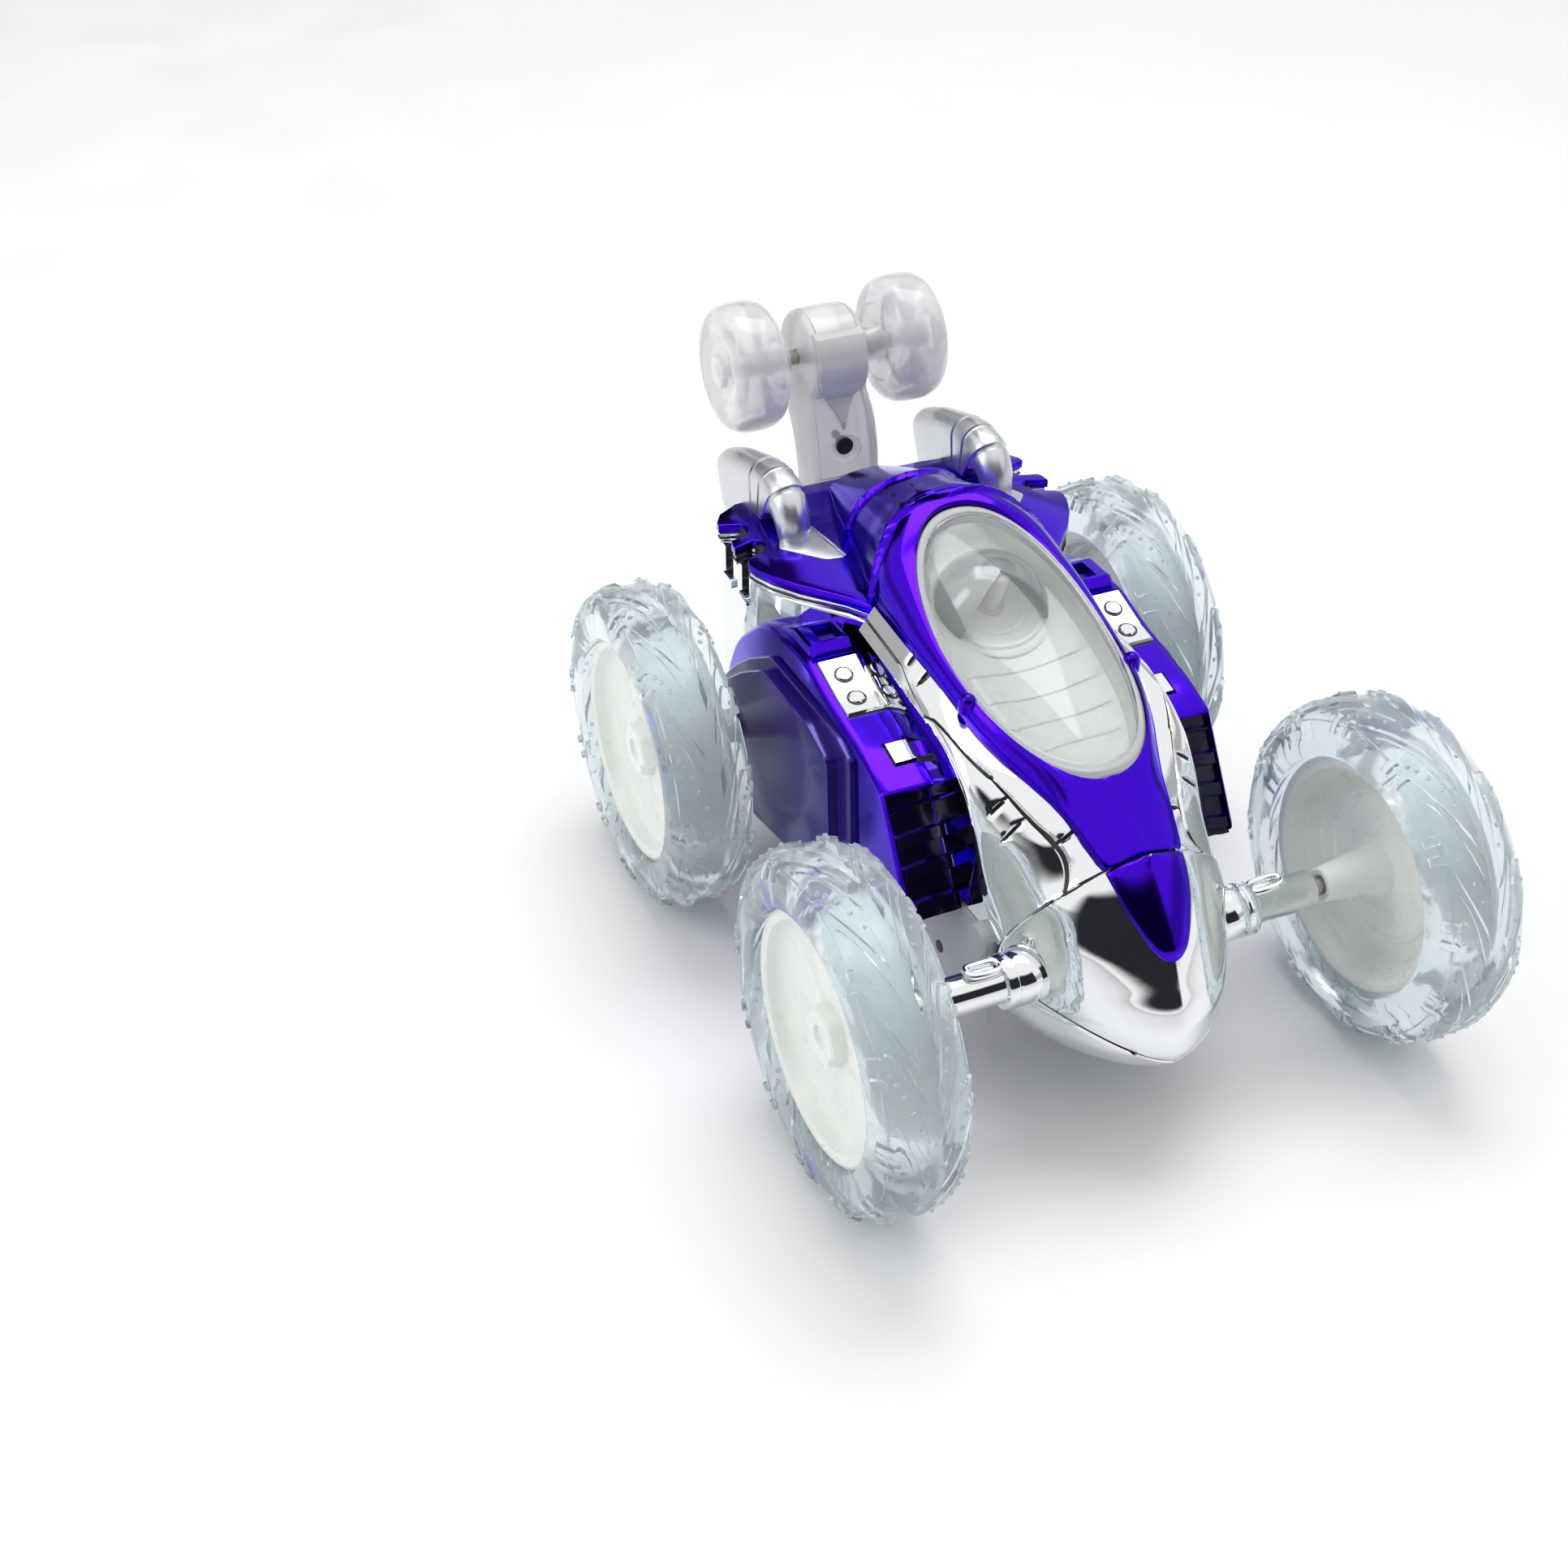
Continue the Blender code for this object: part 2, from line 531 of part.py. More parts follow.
def make_exhaust(side, sign):
    """A hose that climbs out of the deck, bends back and ends in a tall fin behind it."""
    # y, z, direction of travel in degrees above straight back, half-width, half-height
    stations = (
        (98.6, 76.6, 90, 3.9, 3.9), (99.0, 79.4, 80, 3.9, 3.9), (101.0, 82.4, 50, 4.0, 3.9), (104.6, 84.0, 14, 4.1, 3.9),
        (112.0, 83.2, -6, 4.2, 3.8), (119.8, 80.6, -10, 4.2, 4.2), (124.0, 78.4, -6, 3.9, 5.6), (128.0, 75.2, -2, 3.6, 6.8),
        (131.4, 73.4, 0, 3.2, 6.3),
    )
    rings = []
    for y, z, rise, half, height in stations:
        turn, ring = math.radians(rise), []
        for step in range(14):
            around = 2 * math.pi * step / 14
            across, up = half * math.cos(around), height * math.sin(around)
            ring.append((sign * 23.6 + across, y - up * math.sin(turn), z + up * math.cos(turn)))
        rings.append(ring)
    loft(f"exhaust_{side}", rings, LOOKS["silver"])


# ---- side pods, with the gear trains inside ----
PLATE_SIDE = (
    (46.5, 37.5), (48.0, 57.0), (57.9, 60.0), (79.0, 59.5), (89.5, 52.8), (96.0, 47.6), (104.0, 41.5), (105.6, 35.0),
    (103.4, 27.0), (95.6, 21.6), (84.0, 20.0), (64.0, 24.0),
)


def shrink(outline, amount):
    """The outline moved inwards by this much, from the directions of its edges."""
    made = []
    for i, point in enumerate(outline):
        before, after = Vector(outline[i - 1]), Vector(outline[(i + 1) % len(outline)])
        here = Vector(point)
        a, b = (here - before).normalized(), (after - here).normalized()
        normal_a, normal_b = Vector((a.y, -a.x)), Vector((b.y, -b.x))
        across = (normal_a + normal_b) / (1 + normal_a.dot(normal_b))
        made.append(tuple(here + across * amount))
    return made


def make_pod(side, sign):
    def span(low, high):
        return sorted((sign * low, sign * high))

    pod = prism(f"pod_shell_{side}", POD_SIDE, *span(*POD_X), "X", LOOKS["purple"])
    bevel(pod, 1.6, segments=2)
    hollow = prism(f"pod_hollow_{side}", shrink(POD_SIDE, 1.4), *span(20.0, POD_X[1] - WALL), "X", None, helper=True)
    boolean(pod, hollow)
    axle = (0.0, WHEELBASE, WHEEL_Z)
    bush_hole = rod(f"bush_hole_{side}", 33.0, 45.0, 3.3, axle, None, flip=sign, helper=True)
    boolean(pod, bush_hole)
    plate = prism(f"pod_side_plate_{side}", PLATE_SIDE, *span(36.3, 39.7), "X", LOOKS["purple"])
    bevel(plate, 0.9)
    boolean(plate, bush_hole)

    badge_side = ((50.6, 64.3), (55.0, 65.0), (64.8, 68.1), (64.6, 69.1), (54.9, 66.1), (50.4, 65.4))
    badge = prism(f"pod_badge_{side}", badge_side, *span(25.6, 34.0), "X", LOOKS["chrome"])
    for spot, (y, z) in enumerate(((61.2, 67.4), (55.6, 65.8))):
        ring = rod(f"badge_spot_{side}_{spot}", 0.0, 3.0, 1.9, (sign * 29.5, y, z), None, axis="Z", helper=True)
        boolean(badge, ring)
    latch_side = ((36.8, 61.8), (42.0, 62.8), (42.0, 64.0), (36.8, 63.0))
    prism(f"pod_latch_{side}", latch_side, *span(26.2, 33.0), "X", LOOKS["chrome"])


def gear_outline(teeth, phase, centre):
    """Trapezoid teeth as (y, z) points, cut short so that a pair turns with play."""
    pitch = GEAR_MODULE * teeth / 2
    root, tip = pitch - 1.1 * GEAR_MODULE, pitch + 0.8 * GEAR_MODULE
    step = 2 * math.pi / teeth
    points = []
    for tooth in range(teeth):
        middle = phase + tooth * step
        for radius, share in ((root, -0.34), (tip, -0.13), (tip, 0.13), (root, 0.34)):
            turn = middle + share * step
            points.append((centre[1] + radius * math.cos(turn), centre[2] + radius * math.sin(turn)))
    return points


def gear(name, teeth, phase, span, centre, sign, look, helper=False):
    low, high = sorted(sign * x for x in span)
    return prism(name, gear_outline(teeth, phase, centre), low, high, "X", look, helper)


def make_drive(side, sign):
    axle = (0.0, WHEELBASE, WHEEL_Z)
    near = GEAR_MODULE * (SMALL_TEETH + FINAL_TEETH) / 2
    far = GEAR_MODULE * (PINION_TEETH + LARGE_TEETH) / 2
    idler = (0.0, axle[1] - near * math.cos(FINAL_RISE), axle[2] + near * math.sin(FINAL_RISE))
    motor = (0.0, idler[1] - far * math.cos(PINION_RISE), idler[2] + far * math.sin(PINION_RISE))

    def bore(name, centre, radius):
        return rod(f"{name}_{side}", 20.0, 40.0, radius, centre, None, flip=sign, helper=True)

    # Each gear is turned so that a tooth meets a gap on the line between the centres.
    towards_idler = math.pi - FINAL_RISE
    towards_motor = math.pi - PINION_RISE
    small_phase = towards_idler + math.pi + math.pi / SMALL_TEETH
    pinion_phase = towards_motor + math.pi + math.pi / PINION_TEETH

    final = gear(f"final_gear_{side}", FINAL_TEETH, towards_idler, (30.8, 34.2), axle, sign, LOOKS["gear"])
    boolean(final, bore("shaft_bore", axle, REAR_SHAFT_R + GAP))
    idler_bore = bore("idler_bore", idler, GEAR_BORE_R)
    compound = gear(f"compound_gear_{side}", LARGE_TEETH, towards_motor, (27.4, 29.8), idler, sign, LOOKS["gear"])
    small = gear(f"small_teeth_{side}", SMALL_TEETH, small_phase, (29.5, 34.0), idler, sign, None, helper=True)
    boolean(compound, small, "UNION")
    boolean(compound, idler_bore)
    pinion = gear(f"motor_pinion_{side}", PINION_TEETH, pinion_phase, (26.8, 31.0), motor, sign, LOOKS["brass"])
    boolean(pinion, bore("pinion_bore", motor, GEAR_BORE_R))
    rod(f"compound_pin_{side}", 24.2, 34.5, 1.0, idler, LOOKS["steel"], flip=sign)
    low, high = MOTOR_X
    can = [(low, 0), (low, 3.4), (low + 0.6, 3.4), (low + 0.6, MOTOR_R - 0.6), (low + 1.2, MOTOR_R), (high - 0.6, MOTOR_R),
           (high, MOTOR_R - 0.6), (high, 2.9), (high + 1.9, 2.9), (high + 1.9, 1.0), (31.4, 1.0), (31.4, 0)]
    turned(f"motor_{side}", can, motor, LOOKS["steel"], sides=24, flip=sign)
    rod(f"rear_shaft_{side}", 26.2, REAR_TRACK_HALF + 3.4, REAR_SHAFT_R, axle, LOOKS["steel"], flip=sign)
    tube(f"rear_bush_{side}", 35.0, 40.8, 3.0, REAR_SHAFT_R + GAP, axle, LOOKS["brass"], flip=sign)

    outline = [(70.0, 38.2), (70.0, 50.0), (83.0, 52.0), (94.0, 44.0), (104.0, 41.0), (105.4, 35.0), (103.0, 28.0),
               (96.0, 24.0), (84.0, 27.0)]
    spans = sorted((sign * 24.3, sign * 25.8))
    plate = prism(f"gear_plate_{side}", outline, *spans, "X", LOOKS["white"])
    boolean(plate, bore("motor_hole", motor, 3.4))
    boolean(plate, idler_bore)


# ---- the lower body ----
def make_chassis():
    front, back = CHASSIS_Y
    tray = box("chassis_tray", (-CHASSIS_HALF, front, CHASSIS_BOTTOM), (CHASSIS_HALF, back, CHASSIS_TOP), LOOKS["chassis"])
    inside = CHASSIS_HALF - CHASSIS_WALL
    floor = CHASSIS_BOTTOM + CHASSIS_WALL
    boolean(tray, box("tray_hollow", (-inside, front + CHASSIS_WALL, floor), (inside, back - CHASSIS_WALL, 50.0), None,
                      helper=True))
    carrier = box("axle_carrier", (-15.0, -6.5, 24.5), (15.0, front + 1.0, 30.9), None, helper=True)
    boolean(tray, carrier, "UNION")
    for rib, y in enumerate((70.5, 80.2)):
        cradle = box(f"motor_cradle_{rib}", (-20.0, y, 18.0), (20.0, y + 1.6, 34.6), None, helper=True)
        boolean(tray, cradle, "UNION")
    boolean(tray, box("battery_opening", (-19.0, 16.0, 10.0), (19.0, 62.0, 20.0), None, helper=True))
    boolean(tray, box("switch_slot", (7.8, 86.7, 10.0), (12.2, 94.3, 20.0), None, helper=True))
    boolean(tray, rod("socket_hole", 10.0, 25.0, 3.3, (-10.0, 90.0, 0.0), None, axis="Z", helper=True))

    top = CHASSIS_BOTTOM + CHASSIS_WALL
    cover = box("battery_cover", (-18.7, 16.3, CHASSIS_BOTTOM), (18.7, 61.7, top), LOOKS["chassis"])
    bevel(cover, 0.3)
    boolean(cover, rod("cover_screw_seat", 10.0, 25.0, 1.6, (0.0, 58.6, 0.0), None, axis="Z", helper=True))
    screw = [(17.1, 0), (17.1, 1.3), (18.4, 1.3), (18.4, 0)]
    turned("battery_cover_screw", screw, (0.0, 58.6, 0.0), LOOKS["steel"], axis="Z")

    cells, cell_r, outline = 4, 5.2, []
    for cell in range(cells):
        centre = (cell - 0.5 * (cells - 1)) * 2 * cell_r
        for step in range(5):
            turn = math.radians(150 - 30 * step)
            outline.append((centre + cell_r * math.cos(turn), 25.8 + cell_r * math.sin(turn)))
    outline += [(x, 51.6 - z) for x, z in reversed(outline)]
    prism("battery_pack", outline, 17.0, 61.0, "Y", LOOKS["battery"])

    board = box("circuit_board", (-19.0, 20.0, 41.0), (19.0, 58.0, 42.6), LOOKS["board"])
    for chip, (x, y, w, d, h) in enumerate(((-8, 30, 10, 8, 1.6), (8, 34, 7, 7, 5.0), (0, 48, 12, 5, 1.4))):
        part = box(f"chip_{chip}", (x - w / 2, y - d / 2, 42.0), (x + w / 2, y + d / 2, 42.6 + h), None, helper=True)
        boolean(board, part, "UNION")

    switch = [(87.0, 16.2), (90.6, 16.2), (90.6, 18.9), (93.6, 18.9), (93.6, 20.0), (84.0, 20.0), (84.0, 18.9), (87.0, 18.9)]
    prism("power_switch", switch, 8.1, 11.9, "X", LOOKS["black"])
    jack = [(25.0, 0), (25.0, 3.0), (17.1, 3.0), (17.1, 1.4), (23.0, 1.4), (23.0, 0)]
    turned("charging_socket", jack, (-10.0, 90.0, 0.0), LOOKS["black"], axis="Z")


# ---- the tail ----
def make_tail():
    _, axle_y, axle_z = TAIL_AXLE
    head = 10.2
    front = [(118.2, 50.0), (118.2, 65.0), (121.8, 71.5), (123.3, 79.8), (125.3, 85.5), (127.6, 90.5)]
    back = [(131.0, 50.0), (131.8, 70.0), (134.2, 79.0), (138.4, 86.0)]
    split = [(125.4, 50.0), (126.4, 71.0), (128.6, 80.0), (131.6, 87.4), (axle_y, axle_z)]
    arc = [(axle_y + head * math.cos(math.radians(a)), axle_z + head * math.sin(math.radians(a))) for a in
           (215, 192, 170, 148, 126, 106, 90)]
    rear_arc = [(axle_y + head * math.cos(math.radians(a)), axle_z + head * math.sin(math.radians(a))) for a in
                (90, 66, 42, 18, -6, -30, -54)]
    half_gap = GAP / 2
    front_side = front + [p for p in arc if p[1] > 91.5] + [(y - half_gap, z) for y, z in reversed(split)]
    front_side[-len(split) - 1] = (axle_y - half_gap, axle_z + head)
    back_side = [(y + half_gap, z) for y, z in split] + rear_arc + list(reversed(back))
    back_side[len(split)] = (axle_y + half_gap, axle_z + head)
    front_half = prism("tail_arm_front", front_side, -8.3, 8.3, "X", LOOKS["frosted"])
    back_half = prism("tail_arm_back", back_side, -8.3, 8.3, "X", LOOKS["frosted"])
    bore = rod("tail_bore", -20, 20, FRONT_BORE_R, TAIL_AXLE, None, helper=True)
    screw_at = (0.0, 0.0, 80.0)
    access = rod("screw_access", 115.0, 126.4, 2.3, screw_at, None, axis="Y", helper=True)
    clear = rod("screw_clearance", 115.0, 131.6, 1.2, screw_at, None, axis="Y", helper=True)
    for half in (front_half, back_half):
        boolean(half, bore)
        boolean(half, clear)
    boolean(front_half, access)
    screw = [(123.9, 0), (123.9, 1.9), (126.0, 1.9), (126.0, 0.9), (131.2, 0.9), (131.2, 0)]
    turned("tail_arm_screw", screw, screw_at, LOOKS["steel"], axis="Y")
    rod("tail_axle", -TAIL_WHEEL_X - 3.8, TAIL_WHEEL_X + 3.8, FRONT_AXLE_R, TAIL_AXLE, LOOKS["steel"])
    for side, sign in (("left", 1), ("right", -1)):
        centre = (sign * TAIL_WHEEL_X, axle_y, axle_z)
        turned(f"tail_wheel_{side}", tail_wheel_profile(), centre, LOOKS["frosted"], sides=20, flip=sign)


def main():
    clear_scene()
    make_chassis()
    make_nose()
    make_front_axle()
    make_upper_body()
    make_cockpit()
    make_rear()
    for side, sign in (("left", 1), ("right", -1)):
        make_pod(side, sign)
        make_drive(side, sign)
    make_wheels()
    make_tail()


main()
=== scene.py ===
"""Looks for a radio-controlled stunt car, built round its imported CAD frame.

Points are written in millimetres from the middle of the front axle's line on the ground: +X is the
car's left, +Y runs back to the tail and +Z is up. place() turns them into metres in the frame's own axes.
"""

import json
import math

import bmesh
import bpy
import numpy as np
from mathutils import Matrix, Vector


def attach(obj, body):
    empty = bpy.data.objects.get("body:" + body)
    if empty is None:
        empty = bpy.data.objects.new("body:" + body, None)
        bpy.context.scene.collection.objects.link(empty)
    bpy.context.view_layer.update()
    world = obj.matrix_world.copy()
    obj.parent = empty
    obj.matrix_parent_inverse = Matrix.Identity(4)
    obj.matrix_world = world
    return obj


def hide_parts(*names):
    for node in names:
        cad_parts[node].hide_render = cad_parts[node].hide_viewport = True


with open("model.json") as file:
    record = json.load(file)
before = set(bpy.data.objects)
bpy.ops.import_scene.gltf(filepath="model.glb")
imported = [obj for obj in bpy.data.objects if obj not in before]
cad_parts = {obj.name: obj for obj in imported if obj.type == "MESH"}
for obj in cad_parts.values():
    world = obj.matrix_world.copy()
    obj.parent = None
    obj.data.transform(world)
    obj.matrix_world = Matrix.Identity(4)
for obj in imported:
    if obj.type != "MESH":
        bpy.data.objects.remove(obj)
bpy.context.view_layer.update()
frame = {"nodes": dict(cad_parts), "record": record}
NODES = frame["nodes"]

Y_MIDDLE = 57.2
WHEEL_R = 35.0
TRACK_HALF = {"front": 57.2, "rear": 55.7}
WHEEL_Y = {"front": 0.0, "rear": 96.4}
TAIL_AXLE = (0.0, 135.6, 97.2)
TAIL_WHEEL_X = 18.6
SIDES = (("left", 1), ("right", -1))


# ---- making meshes ----
def place(x, y, z):
    """A point in mm from the front axle, as metres in the frame."""
    return Vector((x, y - Y_MIDDLE, z)) * 0.001


def made(name, points, faces, looks, body="car_body", smooth=35, slots=None, origin=None):
    """One object from points in mm. slots gives each face's material where there are several."""
    mesh = bpy.data.meshes.new(name)
    base = place(*origin) if origin else Vector()
    mesh.from_pydata([place(*p) - base for p in points], [], faces)
    for look in looks if isinstance(looks, (list, tuple)) else [looks]:
        mesh.materials.append(look)
    if slots is not None:
        mesh.polygons.foreach_set("material_index", slots)
    tidy = bmesh.new()
    tidy.from_mesh(mesh)
    bmesh.ops.remove_doubles(tidy, verts=tidy.verts, dist=2e-7)
    bmesh.ops.recalc_face_normals(tidy, faces=tidy.faces)
    tidy.to_mesh(mesh)
    tidy.free()
    mesh.shade_smooth()
    mesh.set_sharp_from_angle(angle=math.radians(smooth))
    obj = bpy.data.objects.new(name, mesh)
    obj.location = base
    bpy.context.scene.collection.objects.link(obj)
    if body:
        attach(obj, body)
    return obj


def settle(obj, slot, *nodes):
    """Takes away the CAD nodes that a piece stands in for. Its slot is not used."""
    for node in nodes:
        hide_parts(node)


def grid(rows, columns, wrap=False, close=False, start=0):
    """Quads between rows of points.

    wrap closes each row into a ring and close joins the last row to the first.
    """
    faces = []
    for row in range(rows if close else rows - 1):
        nxt_row = (row + 1) % rows
        for column in range(columns if wrap else columns - 1):
            nxt = (column + 1) % columns
            faces.append(tuple(start + i for i in (
                row * columns + column, row * columns + nxt, nxt_row * columns + nxt,
                nxt_row * columns + column)))
    return faces


def superellipse(turn, half_a, half_b, power):
    """A point on an ellipse of another power than 2."""
    c, s = math.cos(turn), math.sin(turn)
    return (half_a * math.copysign(abs(c) ** (2 / power), c),
            half_b * math.copysign(abs(s) ** (2 / power), s))


# ---- materials ----
WEAR = 0.25  # share by which a roughness varies over a surface
RELIEF = 0.0004  # depth in metres of the fine relief at full strength


def material(name, colour, roughness, metallic=0.0, transmission=0.0, ior=1.45, coat=0.0, subsurface=0.0,
             mottle=(90.0, 0.06), grain=(900.0, 0.03), swirl=None):
    """A Principled surface whose colour, roughness and relief vary with noise.

    mottle is (scale per metre, share of colour), grain is (scale, bump strength) and swirl adds a long
    wave to the relief in the same form.
    """
    look = bpy.data.materials.new(name)
    look.use_nodes = True
    nodes, links = look.node_tree.nodes, look.node_tree.links
    shader = nodes["Principled BSDF"]
    shader.inputs["Metallic"].default_value = metallic
    shader.inputs["Transmission Weight"].default_value = transmission
    shader.inputs["IOR"].default_value = ior
    shader.inputs["Coat Weight"].default_value = coat
    shader.inputs["Coat Roughness"].default_value = 0.04
    if subsurface:
        shader.inputs["Subsurface Weight"].default_value = subsurface
        shader.inputs["Subsurface Scale"].default_value = 0.004
        shader.inputs["Subsurface Radius"].default_value = (1.0, 1.0, 1.0)
    where = nodes.new("ShaderNodeTexCoord")

    def noise(scale, detail=3.0):
        made_noise = nodes.new("ShaderNodeTexNoise")
        made_noise.inputs["Scale"].default_value = scale
        made_noise.inputs["Detail"].default_value = detail
        links.new(where.outputs["Object"], made_noise.inputs["Vector"])
        return made_noise.outputs["Fac"]

    patches = noise(mottle[0])
    ramp = nodes.new("ShaderNodeMix")
    ramp.data_type = "RGBA"
    dark = [c * (1 - mottle[1]) for c in colour]
    light = [min(1.0, c * (1 + mottle[1])) for c in colour]
    ramp.inputs["A"].default_value = (*dark, 1)
    ramp.inputs["B"].default_value = (*light, 1)
    links.new(patches, ramp.inputs["Factor"])
    links.new(ramp.outputs["Result"], shader.inputs["Base Color"])

    wear = nodes.new("ShaderNodeMapRange")
    wear.inputs["From Min"].default_value = 0.3
    wear.inputs["From Max"].default_value = 0.75
    wear.inputs["To Min"].default_value = roughness * (1 - WEAR)
    wear.inputs["To Max"].default_value = roughness * (1 + WEAR)
    links.new(noise(mottle[0] * 2.3, 5.0), wear.inputs["Value"])
    links.new(wear.outputs["Result"], shader.inputs["Roughness"])

    relief = None
    for scale, strength in [grain] + ([swirl] if swirl else []):
        bump = nodes.new("ShaderNodeBump")
        bump.inputs["Strength"].default_value = strength
        bump.inputs["Distance"].default_value = RELIEF
        links.new(noise(scale, 2.0), bump.inputs["Height"])
        if relief:
            links.new(relief, bump.inputs["Normal"])
        relief = bump.outputs["Normal"]
    links.new(relief, shader.inputs["Normal"])
    return look


CHROME = material("chrome_plate", (0.84, 0.86, 0.87), 0.045, metallic=1.0, mottle=(60, 0.04),
                  grain=(500, 0.012),
                  swirl=(70, 0.05))
PURPLE = material("purple_lacquer", (0.050, 0.0015, 0.60), 0.16, metallic=1.0, coat=0.08, mottle=(30, 0.06),
                  grain=(1200, 0.01))
NAVY = material("navy_side_panel", (0.030, 0.012, 0.21), 0.16, metallic=0.35, coat=0.3, mottle=(45, 0.2),
                grain=(1500, 0.04))
# Painted shade: near black for the shade and dark reflections in the vents' recess, whose real surface is the
# purple lacquer.
VENT_PAINTED_SHADE = material("vent_shadow_purple", (0.008, 0.002, 0.03), 0.16, metallic=0.5, coat=0.4,
                      mottle=(60, 0.3),
                      grain=(900, 0.03))
SILVER = material("satin_silver", (0.66, 0.68, 0.70), 0.30, metallic=0.85, mottle=(60, 0.03),
                  grain=(1800, 0.012))
HUB = material("hub_cream", (0.86, 0.90, 0.85), 0.32, subsurface=0.35, coat=0.15, mottle=(120, 0.04),
               grain=(900, 0.03))
TYRE = material("clear_tyre", (0.87, 0.945, 1.0), 0.08, transmission=0.84, ior=1.27, mottle=(160, 0.05),
                grain=(700, 0.06), swirl=(160, 0.12))
FROSTED = material("frosted_plastic", (0.90, 0.915, 0.92), 0.2, transmission=0.45, ior=1.38, coat=0.3,
                   subsurface=0.2,
                   mottle=(50, 0.02), grain=(1400, 0.02))
CANOPY = material("clear_canopy", (0.97, 0.985, 0.985), 0.02, transmission=0.97, ior=1.3, mottle=(60, 0.01),
                  grain=(400, 0.006), swirl=(50, 0.02))
WHITE = material("cockpit_white", (0.84, 0.87, 0.85), 0.3, coat=0.2, subsurface=0.2, mottle=(110, 0.04),
                 grain=(900, 0.04))
RIM = material("rim_translucent", (0.90, 0.92, 0.915), 0.16, transmission=0.25, ior=1.35, coat=0.5,
               subsurface=0.2,
               mottle=(80, 0.03), grain=(900, 0.02))
SMOKE = material("reflector_grey", (0.50, 0.53, 0.54), 0.10, metallic=0.1, transmission=0.55, ior=1.35,
                 coat=0.6,
                 mottle=(70, 0.05), grain=(600, 0.01))
TAIL_CLEAR = material("milky_wheel", (0.92, 0.93, 0.94), 0.12, transmission=0.5, ior=1.35, coat=0.4,
                      subsurface=0.2,
                      mottle=(60, 0.02), grain=(900, 0.02))
CHASSIS = material("chassis_grey", (0.50, 0.51, 0.52), 0.5, mottle=(150, 0.08), grain=(2200, 0.15))
STEEL = material("drawn_steel", (0.55, 0.53, 0.48), 0.24, metallic=1.0, mottle=(400, 0.12),
                 grain=(1500, 0.05))
BRASS = material("turned_brass", (0.66, 0.48, 0.22), 0.28, metallic=1.0, mottle=(300, 0.1),
                 grain=(1500, 0.05))
GEAR = material("nylon_gear", (0.84, 0.83, 0.76), 0.45, subsurface=0.2, mottle=(200, 0.05),
                grain=(1500, 0.08))
# Black plastic for the black parts, and also painted shade at the bottom of the flanks' grooves.
BLACK = material("black_plastic", (0.02, 0.02, 0.022), 0.35, mottle=(200, 0.2), grain=(1800, 0.1))
BOARD = material("board_mask", (0.02, 0.16, 0.06), 0.4, mottle=(400, 0.3), grain=(900, 0.05))
WRAP = material("cell_wrap", (0.03, 0.10, 0.32), 0.25, coat=0.3, mottle=(120, 0.15), grain=(500, 0.1))

LOOK_OF_SLOT = {
    "chrome": CHROME, "purple": PURPLE, "silver": SILVER, "hub": HUB, "tyre": TYRE, "frosted": FROSTED,
    "canopy": CANOPY, "white": WHITE, "chassis": CHASSIS, "steel": STEEL, "brass": BRASS, "gear": GEAR,
    "black": BLACK, "board": BOARD, "battery": WRAP,
}
for part in frame["record"]["subparts"]:
    obj = NODES[part["node"]]
    look = LOOK_OF_SLOT[part["material_slot"]]
    if part["node"].startswith("pod_side_plate"):
        look = NAVY
    if part["node"] == "tail_arm_screw":
        look = BLACK
    obj.data.materials.clear()
    obj.data.materials.append(look)


# ---- stage, light and camera ----
FLOOR_HALF = 3.0
LENS_MM, EYE, TARGET = 49.74, (-0.1837, -0.3140, 0.2968), (-0.04737, -0.0072, 0.05271)
CARD_TONE = (0.012, 0.014, 0.02, 1)


